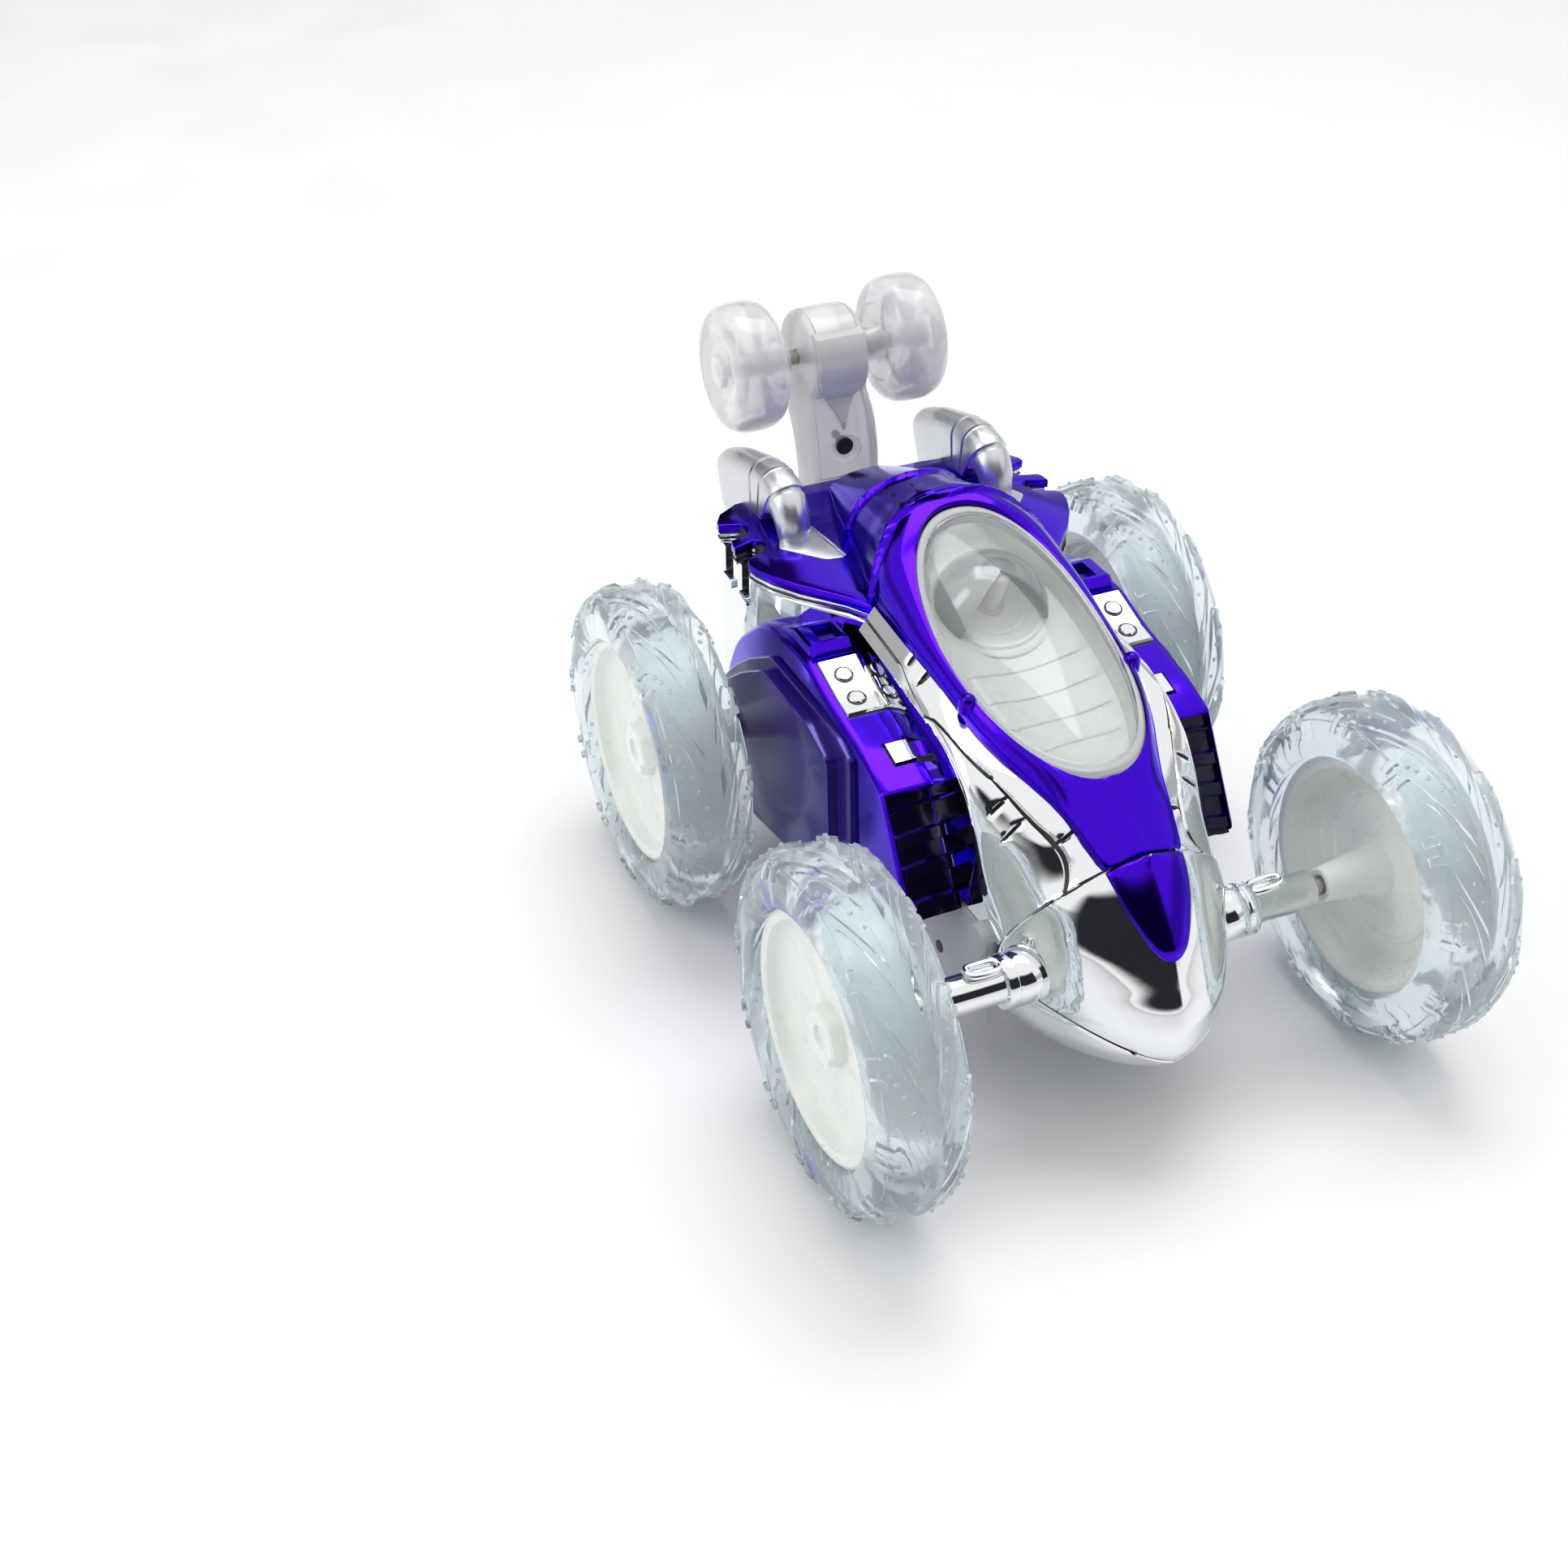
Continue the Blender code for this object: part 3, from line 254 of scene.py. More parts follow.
def make_stage():
    """The floor, the world that the chrome reflects and two soft lamps."""
    mesh = bpy.data.meshes.new("floor")
    mesh.from_pydata([(x * FLOOR_HALF, y * FLOOR_HALF, 0) for x, y in ((-1, -1), (1, -1), (1, 1), (-1, 1))],
                     [], [(0, 1, 2, 3)])
    floor = bpy.data.objects.new("floor", mesh)
    bpy.context.scene.collection.objects.link(floor)
    paper = material("floor_paper", (0.93, 0.93, 0.935), 0.6, mottle=(8, 0.004), grain=(300, 0.01))
    mesh.materials.append(paper)

    world = bpy.data.worlds.new("studio")
    bpy.context.scene.world = world
    world.use_nodes = True
    nodes, links = world.node_tree.nodes, world.node_tree.links
    background = nodes["Background"]
    where = nodes.new("ShaderNodeTexCoord")
    split = nodes.new("ShaderNodeSeparateXYZ")
    links.new(where.outputs["Generated"], split.inputs["Vector"])

    def ramp(source, low, high, out_low, out_high):
        """A smooth step of source between two values."""
        node = nodes.new("ShaderNodeMapRange")
        node.interpolation_type = "SMOOTHSTEP"
        for key, value in (("From Min", low), ("From Max", high), ("To Min", out_low), ("To Max", out_high)):
            node.inputs[key].default_value = value
        links.new(source, node.inputs["Value"])
        return node.outputs["Result"]

    def maths(operation, a, b):
        node = nodes.new("ShaderNodeMath")
        node.operation = operation
        for socket, value in zip(node.inputs, (a, b)):
            if isinstance(value, float):
                socket.default_value = value
            else:
                links.new(value, socket)
        return node.outputs["Value"]

    # A dark card in front, another behind and a grey one low round the rest give the chrome its contrast.
    # Bearings are in radians from straight ahead and heights are of a unit ball.
    toward = maths("ARCTAN2", split.outputs["X"], maths("MULTIPLY", split.outputs["Y"], -1.0))

    def window(source, rise_low, rise_high, fall_low, fall_high):
        """1 between the rise and the fall, and 0 outside them."""
        return maths("MULTIPLY", ramp(source, rise_low, rise_high, 0.0, 1.0),
                     ramp(source, fall_low, fall_high, 1.0, 0.0))

    height = split.outputs["Z"]
    ahead = window(toward, -1.25, -0.95, 0.46, 0.56)
    behind = maths("SUBTRACT", 1.0, window(toward, -2.62, -2.52, 2.73, 2.80))
    cards = ((ahead, window(height, 0.0, 0.1, 0.64, 0.76), 0.99),
             (behind, window(height, 0.02, 0.12, 0.77, 0.83), 0.97),
             (maths("SUBTRACT", 1.0, ahead), window(height, 0.08, 0.2, 0.36, 0.46), 0.55))
    level = 1.0
    for across, up, strength in cards:
        level = maths("SUBTRACT", level, maths("MULTIPLY", maths("MULTIPLY", across, up), strength))
    seen = nodes.new("ShaderNodeLightPath")  # the dark cards show in reflections only
    level = maths("MAXIMUM", level, seen.outputs["Is Camera Ray"])
    tone = nodes.new("ShaderNodeMix")
    tone.data_type = "RGBA"
    tone.inputs["A"].default_value = CARD_TONE
    tone.inputs["B"].default_value = (1.0, 1.0, 1.0, 1)
    links.new(level, tone.inputs["Factor"])
    links.new(tone.outputs["Result"], background.inputs["Color"])
    background.inputs["Strength"].default_value = 1.0

    def softbox(name, energy, size, at, towards):
        lamp = bpy.data.lights.new(name, "AREA")
        lamp.shape = "RECTANGLE"
        lamp.size, lamp.size_y = size
        lamp.energy = energy
        obj = bpy.data.objects.new(name, lamp)
        obj.location = at
        obj.rotation_mode = "QUATERNION"
        obj.rotation_quaternion = (Vector(towards) - Vector(at)).to_track_quat("-Z", "Y")
        bpy.context.scene.collection.objects.link(obj)

    softbox("softbox_top", 4.0, (0.7, 0.5), (0.15, 0.25, 0.95), (0, 0, 0.03))
    softbox("softbox_side", 1.6, (0.25, 0.7), (-0.75, 0.1, 0.55), (0, 0, 0.04))


def make_camera():
    """The camera as it was fitted to the photo."""
    camera = bpy.data.cameras.new("camera")
    camera.lens, camera.sensor_width = LENS_MM, 36.0
    camera.clip_start = 0.01
    obj = bpy.data.objects.new("camera", camera)
    bpy.context.scene.collection.objects.link(obj)
    eye, target = Vector(EYE), Vector(TARGET)
    obj.location = eye
    obj.rotation_mode = "QUATERNION"
    obj.rotation_quaternion = (target - eye).to_track_quat("-Z", "Y")
    bpy.context.scene.camera = obj
    bpy.context.scene.view_settings.view_transform = "Standard"


make_camera()
make_stage()


# ---- wheels ----
TYRE_HALF, CROWN_MIDDLE, CROWN_POWER, CASING_CROWN = 8.7, 27.4, 2.6, 6.6
PITCHES, SWEEP, SWEEP_START = 12, math.radians(34), 36
LUG_H, RIB_H, SLOT_H = 0.85, 0.5, -0.45
BEAD_R, BORE_R, BEAD_HALF = 24.4, 23.3, 4.9
PLAIN_ANGLE = 13.4  # below it the tyre's side is smooth
# Angle on the section and radius of each stud on a lug
STUDS = ((50.0, 0.62), (57.0, 0.6), (64.0, 0.56), (71.0, 0.5), (77.5, 0.42))
# Columns across one pitch: (share of the lug's half-width, or of the valley's width after it, kind)
LUG_COLUMNS = ((-1.0, "foot"), (-0.93, "top"), (-0.66, "top"), (-0.4, "top"), (-0.33, "gap"), (0.33, "gap"),
               (0.4, "top"), (0.66, "top"), (0.93, "top"), (1.0, "foot"))
VALLEY_COLUMNS = ((0.1, "floor"), (0.24, "floor"), (0.42, "floor"), (0.45, "slot"), (0.55, "slot"),
                  (0.58, "floor"), (0.76, "floor"), (0.9, "floor"))
# Rows from the centre line to the bead: angle on the tyre's section, and what the row holds
TREAD_ROWS = (
    (90.0, "groove"), (87.0, "groove"), (85.6, "tip"), (82.5, "lug"), (79.5, "lug"), (76.0, "lug"),
    (72.0, "lug"), (68.0, "lug"), (64.0, "lug"), (60.0, "lug"), (56.0, "lug"), (52.0, "lug"), (48.5, "lug"),
    (45.5, "lug"), (44.2, "bars"), (40.0, "bars"), (36.0, "bars"), (34.8, "ribs"), (31.5, "ribs"),
    (30.3, "bars"), (25.0, "bars"), (20.0, "bars"), (15.0, "bars"), (PLAIN_ANGLE, "side"), (6.0, "side"),
    (-4.0, "side"), (-14.0, "side"), (-22.0, "side"), (-27.0, "side"),
)


def casing(angle, lift):
    """(along the axle, radius) of the tyre's outside at an angle on its section, lifted along the normal."""
    def at(a):
        along, up = superellipse(math.radians(a), TYRE_HALF, CASING_CROWN, CROWN_POWER)
        return along, CROWN_MIDDLE + up
    x, r = at(angle)
    ax, ar = at(angle + 1.0)
    bx, br = at(angle - 1.0)
    dx, dr = ax - bx, ar - br
    size = math.hypot(dx, dr) or 1.0
    return x + dr / size * lift, max(r - dx / size * lift, BEAD_R)


def lug_share(angle):
    """Half the lug's width as a share of the pitch."""
    if angle < 45:
        return 0.17
    t = (angle - 45) / 45
    return 0.17 + 0.20 * math.sin(math.pi * min(1.0, t * 1.15)) ** 0.8 * (1 - 0.25 * t) - 0.03 * t


def sweep(angle):
    """How far round a row is turned, so that the lugs bend into chevrons."""
    return SWEEP * max(0.0, (angle - SWEEP_START) / (90 - SWEEP_START)) ** 2.1


def tread_height(row, column):
    """Height of the tread where a kind of row crosses a kind of column."""
    if column == "foot" or row in ("groove", "side"):
        return 0.0
    if column in ("top", "gap"):
        if row == "lug":
            return LUG_H
        if row == "tip":
            return 0.0
        return LUG_H * 0.9 if column == "top" else (RIB_H if row == "ribs" else 0.0)
    if column == "floor":
        return RIB_H if row == "ribs" else 0.0
    return SLOT_H if row == "lug" else (RIB_H if row == "ribs" else 0.0)


def tyre_mesh():
    """Points (along, y, z) and faces of one tyre, outwards positive, with its tread in the surface itself."""
    pitch = 2 * math.pi / PITCHES
    columns = len(LUG_COLUMNS) + len(VALLEY_COLUMNS)

    def ring(angle, kind, side):
        share = lug_share(angle)
        blend = 1.0 if kind != "groove" and angle > 0 else 0.0
        if 0 < angle < PLAIN_ANGLE:
            blend = angle / PLAIN_ANGLE
        points = []
        phase = 0.0 if side > 0 else 0.5
        for tooth in range(PITCHES):
            for index in range(columns):
                if index < len(LUG_COLUMNS):
                    f, column = LUG_COLUMNS[index]
                    u = f * share
                else:
                    f, column = VALLEY_COLUMNS[index - len(LUG_COLUMNS)]
                    u = share + f * (1 - 2 * share)
                uniform = (index - (len(LUG_COLUMNS) - 1) / 2) / columns
                u = u * blend + uniform * (1 - blend)
                turn = (tooth + phase + u) * pitch + sweep(angle)
                along, radius = casing(angle, tread_height(kind, column))
                points.append((side * along, radius * math.cos(turn), radius * math.sin(turn)))
        if side < 0:  # the two halves share the centre ring, so this one starts half a pitch earlier
            half = columns * PITCHES - columns // 2
            points = points[half:] + points[:half]
        return points

    rings = [ring(a, kind, 1) for a, kind in reversed(TREAD_ROWS)]
    rings += [ring(a, kind, -1) for a, kind in TREAD_ROWS[1:]]
    count = columns * PITCHES
    for along, radius in ((-BEAD_HALF, BEAD_R), (-BEAD_HALF, BORE_R), (BEAD_HALF, BORE_R),
                          (BEAD_HALF, BEAD_R)):
        rings.append([(along, radius * math.cos(t), radius * math.sin(t)) for t in
                      (math.atan2(p[2], p[1]) for p in rings[0])])
    points = [p for r in rings for p in r]
    faces = grid(len(rings), count, wrap=True, close=True)

    for side in (1, -1):  # studs along each lug
        for tooth in range(PITCHES):
            for angle, size in STUDS:
                turn = (tooth + (0.0 if side > 0 else 0.5)) * pitch + sweep(angle) - 0.03 * pitch
                along, radius = casing(angle, LUG_H - 0.15)
                ahead, above = casing(angle, LUG_H + 0.85)
                normal = Vector((side * (ahead - along), (above - radius) * math.cos(turn),
                                 (above - radius) * math.sin(turn))).normalized()
                centre = Vector((side * along, radius * math.cos(turn), radius * math.sin(turn)))
                across = normal.orthogonal().normalized()
                other = normal.cross(across)
                start = len(points)
                for lift, wide in ((0.0, 1.0), (0.35, 0.85), (0.52, 0.45)):
                    for k in range(8):
                        a = 2 * math.pi * k / 8
                        points.append(tuple(centre + normal * lift
                                            + (across * math.cos(a) + other * math.sin(a))
                                            * size * wide))
                faces += grid(3, 8, wrap=True, start=start)
                faces.append(tuple(start + 16 + k for k in range(8)))
                faces.append(tuple(start + k for k in reversed(range(8))))
    return points, faces


def shift(points, sign, centre):
    """Points about the origin, mirrored for the right side and moved to centre."""
    return [(centre[0] + sign * x, centre[1] + y, centre[2] + z) for x, y, z in points]


def revolve(profile, sides, radius_at=None):
    """Points (along, y, z) and faces of a profile of (along, radius) that ends on the axis or is a loop."""
    points, index = [], []
    for i, (along, radius) in enumerate(profile):
        if radius == 0:
            index.append([len(points)] * sides)
            points.append((along, 0.0, 0.0))
            continue
        index.append(list(range(len(points), len(points) + sides)))
        for side in range(sides):
            turn = 2 * math.pi * side / sides
            a, r = radius_at(i, along, radius, turn) if radius_at else (along, radius)
            points.append((a, r * math.cos(turn), r * math.sin(turn)))
    faces = []
    solid_ends = profile[0][1] == 0 and profile[-1][1] == 0
    for i in range(len(profile) - (1 if solid_ends else 0)):
        a, b = index[i], index[(i + 1) % len(profile)]
        for side in range(sides):
            nxt = (side + 1) % sides
            quad = list(dict.fromkeys((a[side], a[nxt], b[nxt], b[side])))
            if len(quad) > 2:
                faces.append(tuple(quad))
    return points, faces


HUB_PROFILE = (
    (3.8, 0), (3.8, 1.9), (-13.4, 1.9), (-13.7, 2.2), (-13.7, 3.1), (-13.4, 3.4), (-4.0, 4.6), (-0.6, 6.0),
    (0.3, 7.2), (0.6, 8.6), (0.75, 14.2), (0.4, 14.6), (0.4, 15.4), (0.9, 15.8), (0.8, 18.2), (0.2, 18.9),
    (-2.6, 19.9), (-2.9, 20.4), (-5.6, 21.3), (-6.0, 21.8), (-6.4, 22.3), (-6.5, 23.2), (-6.3, 23.8),
    (-5.9, 24.0), (-5.4, 23.9), (-5.2, 23.6), (-5.2, 23.0), (5.4, 23.0), (5.4, 23.6), (5.6, 23.9),
    (6.1, 24.0), (6.6, 23.8), (6.8, 23.3), (6.7, 22.6), (6.3, 21.9), (5.0, 21.2), (4.2, 20.6), (3.4, 19.2),
    (2.6, 17.0), (2.3, 12.5), (2.3, 9.2), (2.6, 7.4), (2.8, 5.9), (5.2, 5.3), (5.6, 4.9), (5.6, 2.4),
    (4.9, 2.2), (4.9, 0),
)


def hub_shape(i, along, radius, turn):
    """Six shallow facets on the outer dish and a six-sided boss. i counts the profile's points."""
    if 38 <= i <= 41:
        wave = abs(((turn * 6 / (2 * math.pi)) % 1.0) - 0.5) * 2
        along += {38: 0.35, 39: 0.9, 40: 0.9, 41: 0.5}[i] * wave
    if 42 <= i <= 44:
        radius *= 1 + 0.06 * math.cos(6 * turn)
    return along, radius


def make_wheels():
    tread_points, tread_faces = tyre_mesh()
    hub_points, hub_faces = revolve(HUB_PROFILE, 96, hub_shape)
    for end in ("front", "rear"):
        for side, sign in SIDES:
            centre = (sign * TRACK_HALF[end], WHEEL_Y[end], WHEEL_R)
            body = f"{end}_wheel_{side}"
            tyre = made(f"tread_{end}_{side}", shift(tread_points, sign, centre), tread_faces, TYRE, body,
                        smooth=42,
                        origin=centre)
            settle(tyre, "tyre", f"tyre_{end}_{side}")
            hub = made(f"hub_{end}_{side}", shift(hub_points, sign, centre), hub_faces, HUB, body, smooth=28,
                       origin=centre)
            settle(hub, "hub", f"wheel_hub_{end}_{side}")


# ---- smooth surfaces ----
def curve(table, at):
    """The other columns of a table at a value of its first, on a smooth curve that never overshoots."""
    if at <= table[0][0]:
        return table[0][1:]
    if at >= table[-1][0]:
        return table[-1][1:]
    i = max(k for k in range(len(table) - 1) if table[k][0] <= at)
    span = table[i + 1][0] - table[i][0]
    t = (at - table[i][0]) / span

    def slope(k, column):
        k = min(max(k, 0), len(table) - 2)
        return (table[k + 1][column] - table[k][column]) / (table[k + 1][0] - table[k][0])

    def tangent(k, column):
        before, after = slope(k - 1, column), slope(k, column)
        return 0.0 if before * after <= 0 else 2 * before * after / (before + after)

    values = []
    for column in range(1, len(table[0])):
        a, b = table[i][column], table[i + 1][column]
        ta, tb = tangent(i, column) * span, tangent(i + 1, column) * span
        values.append(a + t * t * (3 - 2 * t) * (b - a) + t * (1 - t) * ((1 - t) * ta - t * tb))
    return tuple(values)


def straight(table, at):
    """The other columns of a table at a value of its first, in straight lines between its rows."""
    return tuple(float(np.interp(at, [row[0] for row in table], [row[c] for row in table]))
                 for c in range(1, len(table[0])))


def ease(value, low, high):
    """0 up to low, 1 from high on and a smooth step between them."""
    t = min(1.0, max(0.0, (value - low) / (high - low)))
    return t * t * (3 - 2 * t)


def groove(distance, half):
    """1 in the middle of a groove and 0 from its half-width out."""
    return 1 - ease(abs(distance), half * 0.35, half)


def spread(stops, steps):
    """Values through the stops, with this many even steps between each two."""
    values = []
    for low, high, count in zip(stops, stops[1:], steps):
        values += [low + (high - low) * k / count for k in range(count)]
    return values + [stops[-1]]


def sheet(rows, columns, cell):
    """Points and lifts for shell, from a function that gives both for a row's and a column's value."""
    cells = [[cell(row, column) for column in columns] for row in rows]
    return [[point for point, _ in row] for row in cells], [[lift for _, lift in row] for row in cells]


def shell(name, base, lift, thickness, inside, look, smooth=32, slots=None):
    """A closed sheet from rows of points, whose outside is lifted along the normals."""
    base, lift = np.array(base, float), np.array(lift, float)
    normal = np.cross(np.gradient(base, axis=0), np.gradient(base, axis=1))
    normal /= np.maximum(np.linalg.norm(normal, axis=2, keepdims=True), 1e-9)
    if (normal * (base - np.array(inside))).sum() < 0:
        normal = -normal
    rows, columns = base.shape[:2]
    outer = (base + normal * lift[..., None]).reshape(-1, 3)
    inner = (base - normal * thickness).reshape(-1, 3)
    count = rows * columns
    faces = grid(rows, columns)
    outside = len(faces)
    faces += [tuple(count + i for i in reversed(face)) for face in faces]
    edge = list(range(columns)) + [r * columns + columns - 1 for r in range(1, rows)]
    edge += [(rows - 1) * columns + c for c in range(columns - 2, -1, -1)]
    edge += [r * columns for r in range(rows - 2, 0, -1)]
    faces += [(a, b, count + b, count + a) for a, b in zip(edge, edge[1:] + edge[:1])]
    if slots is not None:
        slots = list(slots) + [0] * (len(faces) - outside)
    return made(name, [tuple(p) for p in np.vstack((outer, inner))], faces, look, smooth=smooth, slots=slots)


def mirrored(points):
    """The same rows of points on the car's other side."""
    return [[(-x, y, z) for x, y, z in row] for row in points]


def loft(name, rings, look, smooth=32, body="car_body", closed=False):
    """A solid skinned over rings of points, with flat ends where it doesn't close on itself."""
    count = len(rings[0])
    faces = grid(len(rings), count, wrap=True, close=closed)
    if not closed:
        faces += [tuple(range(count)), tuple(range((len(rings) - 1) * count, len(rings) * count))]
    return made(name, [p for ring in rings for p in ring], faces, look, body, smooth)


def on_axis(axis, along, a, b):
    """A point that far along an axis, with a and b on the other two."""
    point = [a, b]
    point.insert("XYZ".index(axis), along)
    return tuple(point)


def prism(name, outline, low, high, axis, look=None, smooth=32, edge=0.0, body="car_body"):
    """An outline extruded along an axis, with its rims drawn in by edge."""
    if edge:
        inner, mid = shrink(outline, edge), shrink(outline, edge * 0.3)
        steps = ((inner, low), (mid, low + edge * 0.3), (outline, low + edge), (outline, high - edge),
                 (mid, high - edge * 0.3), (inner, high))
    else:
        steps = ((outline, low), (outline, high))
    rings = [[on_axis(axis, h, a, b) for a, b in ring] for ring, h in steps]
    return loft(name, rings, look or [], smooth, body)


def box(name, low, high, look=None, edge=0.0, body="car_body"):
    """A block between two corners, whose x values can come in either order."""
    left, right = sorted((low[0], high[0]))
    outline = [(left, low[1]), (right, low[1]), (right, high[1]), (left, high[1])]
    return prism(name, outline, low[2], high[2], "Z", look, edge=edge, body=body)


def shrink(outline, amount):
    """The outline moved inwards, whichever way round it runs."""
    outline = list(outline)
    area = sum(a[0] * b[1] - b[0] * a[1] for a, b in zip(outline, outline[1:] + outline[:1]))
    amount = math.copysign(amount, area)
    moved = []
    for i, here in enumerate(outline):
        before, after = np.array(outline[i - 1]), np.array(outline[(i + 1) % len(outline)])
        a, b = np.array(here) - before, after - np.array(here)
        a, b = a / np.linalg.norm(a), b / np.linalg.norm(b)
        across = np.array((-a[1] - b[1], a[0] + b[0])) / max(0.25, 1 + a[0] * b[0] + a[1] * b[1])
        moved.append(tuple(np.array(here) + across * amount))
    return moved


def rounded(outline, radii, steps=5):
    """The outline with each corner turned into an arc, as far as its edges allow.

    radii is one radius for all corners or one for each.
    """
    points = []
    for i, radius in enumerate(np.broadcast_to(radii, len(outline))):
        trio = (outline[i], outline[i - 1], outline[(i + 1) % len(outline)])
        here, before, after = (np.array(p) for p in trio)
        reach = min(radius, 0.45 * np.linalg.norm(before - here), 0.45 * np.linalg.norm(after - here))
        start = here + (before - here) / np.linalg.norm(before - here) * reach
        end = here + (after - here) / np.linalg.norm(after - here) * reach
        for k in range(steps + 1):
            t = k / steps
            points.append(tuple(start * (1 - t) ** 2 + here * 2 * t * (1 - t) + end * t * t))
    return points


def cut(obj, cutters, solver="EXACT", smooth=32):
    """Takes the cutters away from the mesh, and deletes them."""
    for other in cutters:
        step = obj.modifiers.new(other.name, "BOOLEAN")
        step.object, step.operation, step.solver = other, "DIFFERENCE", solver
    bpy.context.view_layer.update()
    graph = bpy.context.evaluated_depsgraph_get()
    mesh = bpy.data.meshes.new_from_object(obj.evaluated_get(graph))
    obj.modifiers.clear()
    obj.data = mesh
    mesh.shade_smooth()
    mesh.set_sharp_from_angle(angle=math.radians(smooth))
    for other in cutters:
        bpy.data.objects.remove(other)


TUBE_SIDES = 10


def tube_along(name, path, radius, look, closed=False):
    """A round bead along a path of points."""
    path = [Vector(p) for p in path]
    turns = [2 * math.pi * k / TUBE_SIDES for k in range(TUBE_SIDES)]
    rings = []
    for i, here in enumerate(path):
        if closed:
            ahead = path[(i + 1) % len(path)] - path[i - 1]
        else:
            ahead = path[min(i + 1, len(path) - 1)] - path[max(i - 1, 0)]
        side = ahead.cross(Vector((0, 0, 1)))
        if side.length < 1e-6:
            side = ahead.cross(Vector((1, 0, 0)))
        side.normalize()
        up = side.cross(ahead).normalized()
        rings.append([tuple(here + side * radius * math.cos(t) + up * radius * math.sin(t)) for t in turns])
    return loft(name, rings, look, 50, closed=closed)


def turned(name, profile, centre, axis, look, sides=48, flip=1, body="car_body", smooth=28):
    """A closed profile of (along, radius) turned about an axis through centre."""
    points, faces = revolve(profile, sides)
    placed = [tuple(np.add(centre, on_axis(axis, flip * s, u, v))) for s, u, v in points]
    return made(name, placed, faces, look, body, smooth)


# ---- nose ----
# Height, half-width and y where the nose meets the body's seam, and y of the nose's front at that height
NOSE_SLICES = (
    (17.3, 13.0, 7.0, -12.0), (19.0, 18.5, 7.0, -16.5), (22.0, 22.0, 6.9, -19.6), (26.0, 23.6, 6.8, -21.2),
    (30.0, 24.0, 6.7, -21.4), (34.0, 24.0, 6.5, -20.3), (38.0, 23.8, 5.8, -18.4), (43.0, 22.3, 3.9, -15.9),
    (47.0, 20.0, 2.1, -13.5), (50.0, 17.5, 0.4, -11.4), (53.0, 13.8, -1.2, -9.0), (55.5, 9.8, -2.1, -6.8),
    (57.5, 5.4, -3.0, -4.8), (58.6, 0.6, -3.5, -3.8),
)
NOSE_POWER, NOSE_INSIDE = 1.75, (0, 8, 35)
NOSE_BOTTOM, NOSE_TOP = 17.3, 58.6
PARTING_FRONT_Z, PARTING_SIDE_Z = 22.0, 31.8
# Height and half-width of the purple tongue
TONGUE = ((43.2, 0.5), (43.6, 1.7), (44.5, 2.9), (46.8, 4.5), (49.0, 5.6), (51.5, 6.7), (54.0, 7.5),
          (56.0, 8.0), (58.6, 8.3))
# The nose stops short of its widest turn, so that it runs on smoothly into the body's sides
SEAM_TURN = math.radians(72)
SEAM_SINE, SEAM_COSINE = (f(SEAM_TURN) ** (2 / NOSE_POWER) for f in (math.sin, math.cos))


def nose_point(z, turn):
    """A point on the nose. turn runs from -1 at the right seam to 1 at the left one."""
    half, back, front = curve(NOSE_SLICES, z)
    c, s = math.cos(turn * SEAM_TURN), math.sin(turn * SEAM_TURN)
    x = half * math.copysign(abs(s) ** (2 / NOSE_POWER), s) / SEAM_SINE
    return x, back - (back - front) * (c ** (2 / NOSE_POWER) - SEAM_COSINE) / (1 - SEAM_COSINE), z


def nose_y(x, z):
    """How far forward the nose stands at a place seen from the front."""
    half, back, front = curve(NOSE_SLICES, z)
    c = (1 - (min(abs(x) / half, 1.0) * SEAM_SINE) ** NOSE_POWER) ** (1 / NOSE_POWER)
    return back - (back - front) * (c - SEAM_COSINE) / (1 - SEAM_COSINE)


def nose_sheet(name, node, end_z, rows, gap):
    """The nose's skin from gap past its parting line to end_z."""
    def cell(share, turn):
        climb = abs(math.sin(turn * math.pi / 2)) ** 1.2
        parting = PARTING_FRONT_Z + (PARTING_SIDE_Z - PARTING_FRONT_Z) * climb + gap
        edge = -0.25 if share == 0.0 or abs(turn) == 1.0 else 0.0
        return nose_point(parting + (end_z - parting) * share, turn), edge

    turns = spread((-1.0, -0.985, 0.985, 1.0), (1, 90, 1))
    piece = shell(name, *sheet(rows, turns, cell), 1.2, NOSE_INSIDE, CHROME, smooth=40)
    settle(piece, "chrome", node)


def tongue_cell(z, share):
    """Point and lift of the tongue, which swells to the middle and thins out to its front tip."""
    half = min(curve(TONGUE, z)[0], curve(NOSE_SLICES, z)[0] - 0.05)
    rise = 0.05 + 0.85 * ease(z, 43.2, 45.0) * math.sqrt(1 - share * share)
    return (half * share, nose_y(half * share, z), z), rise


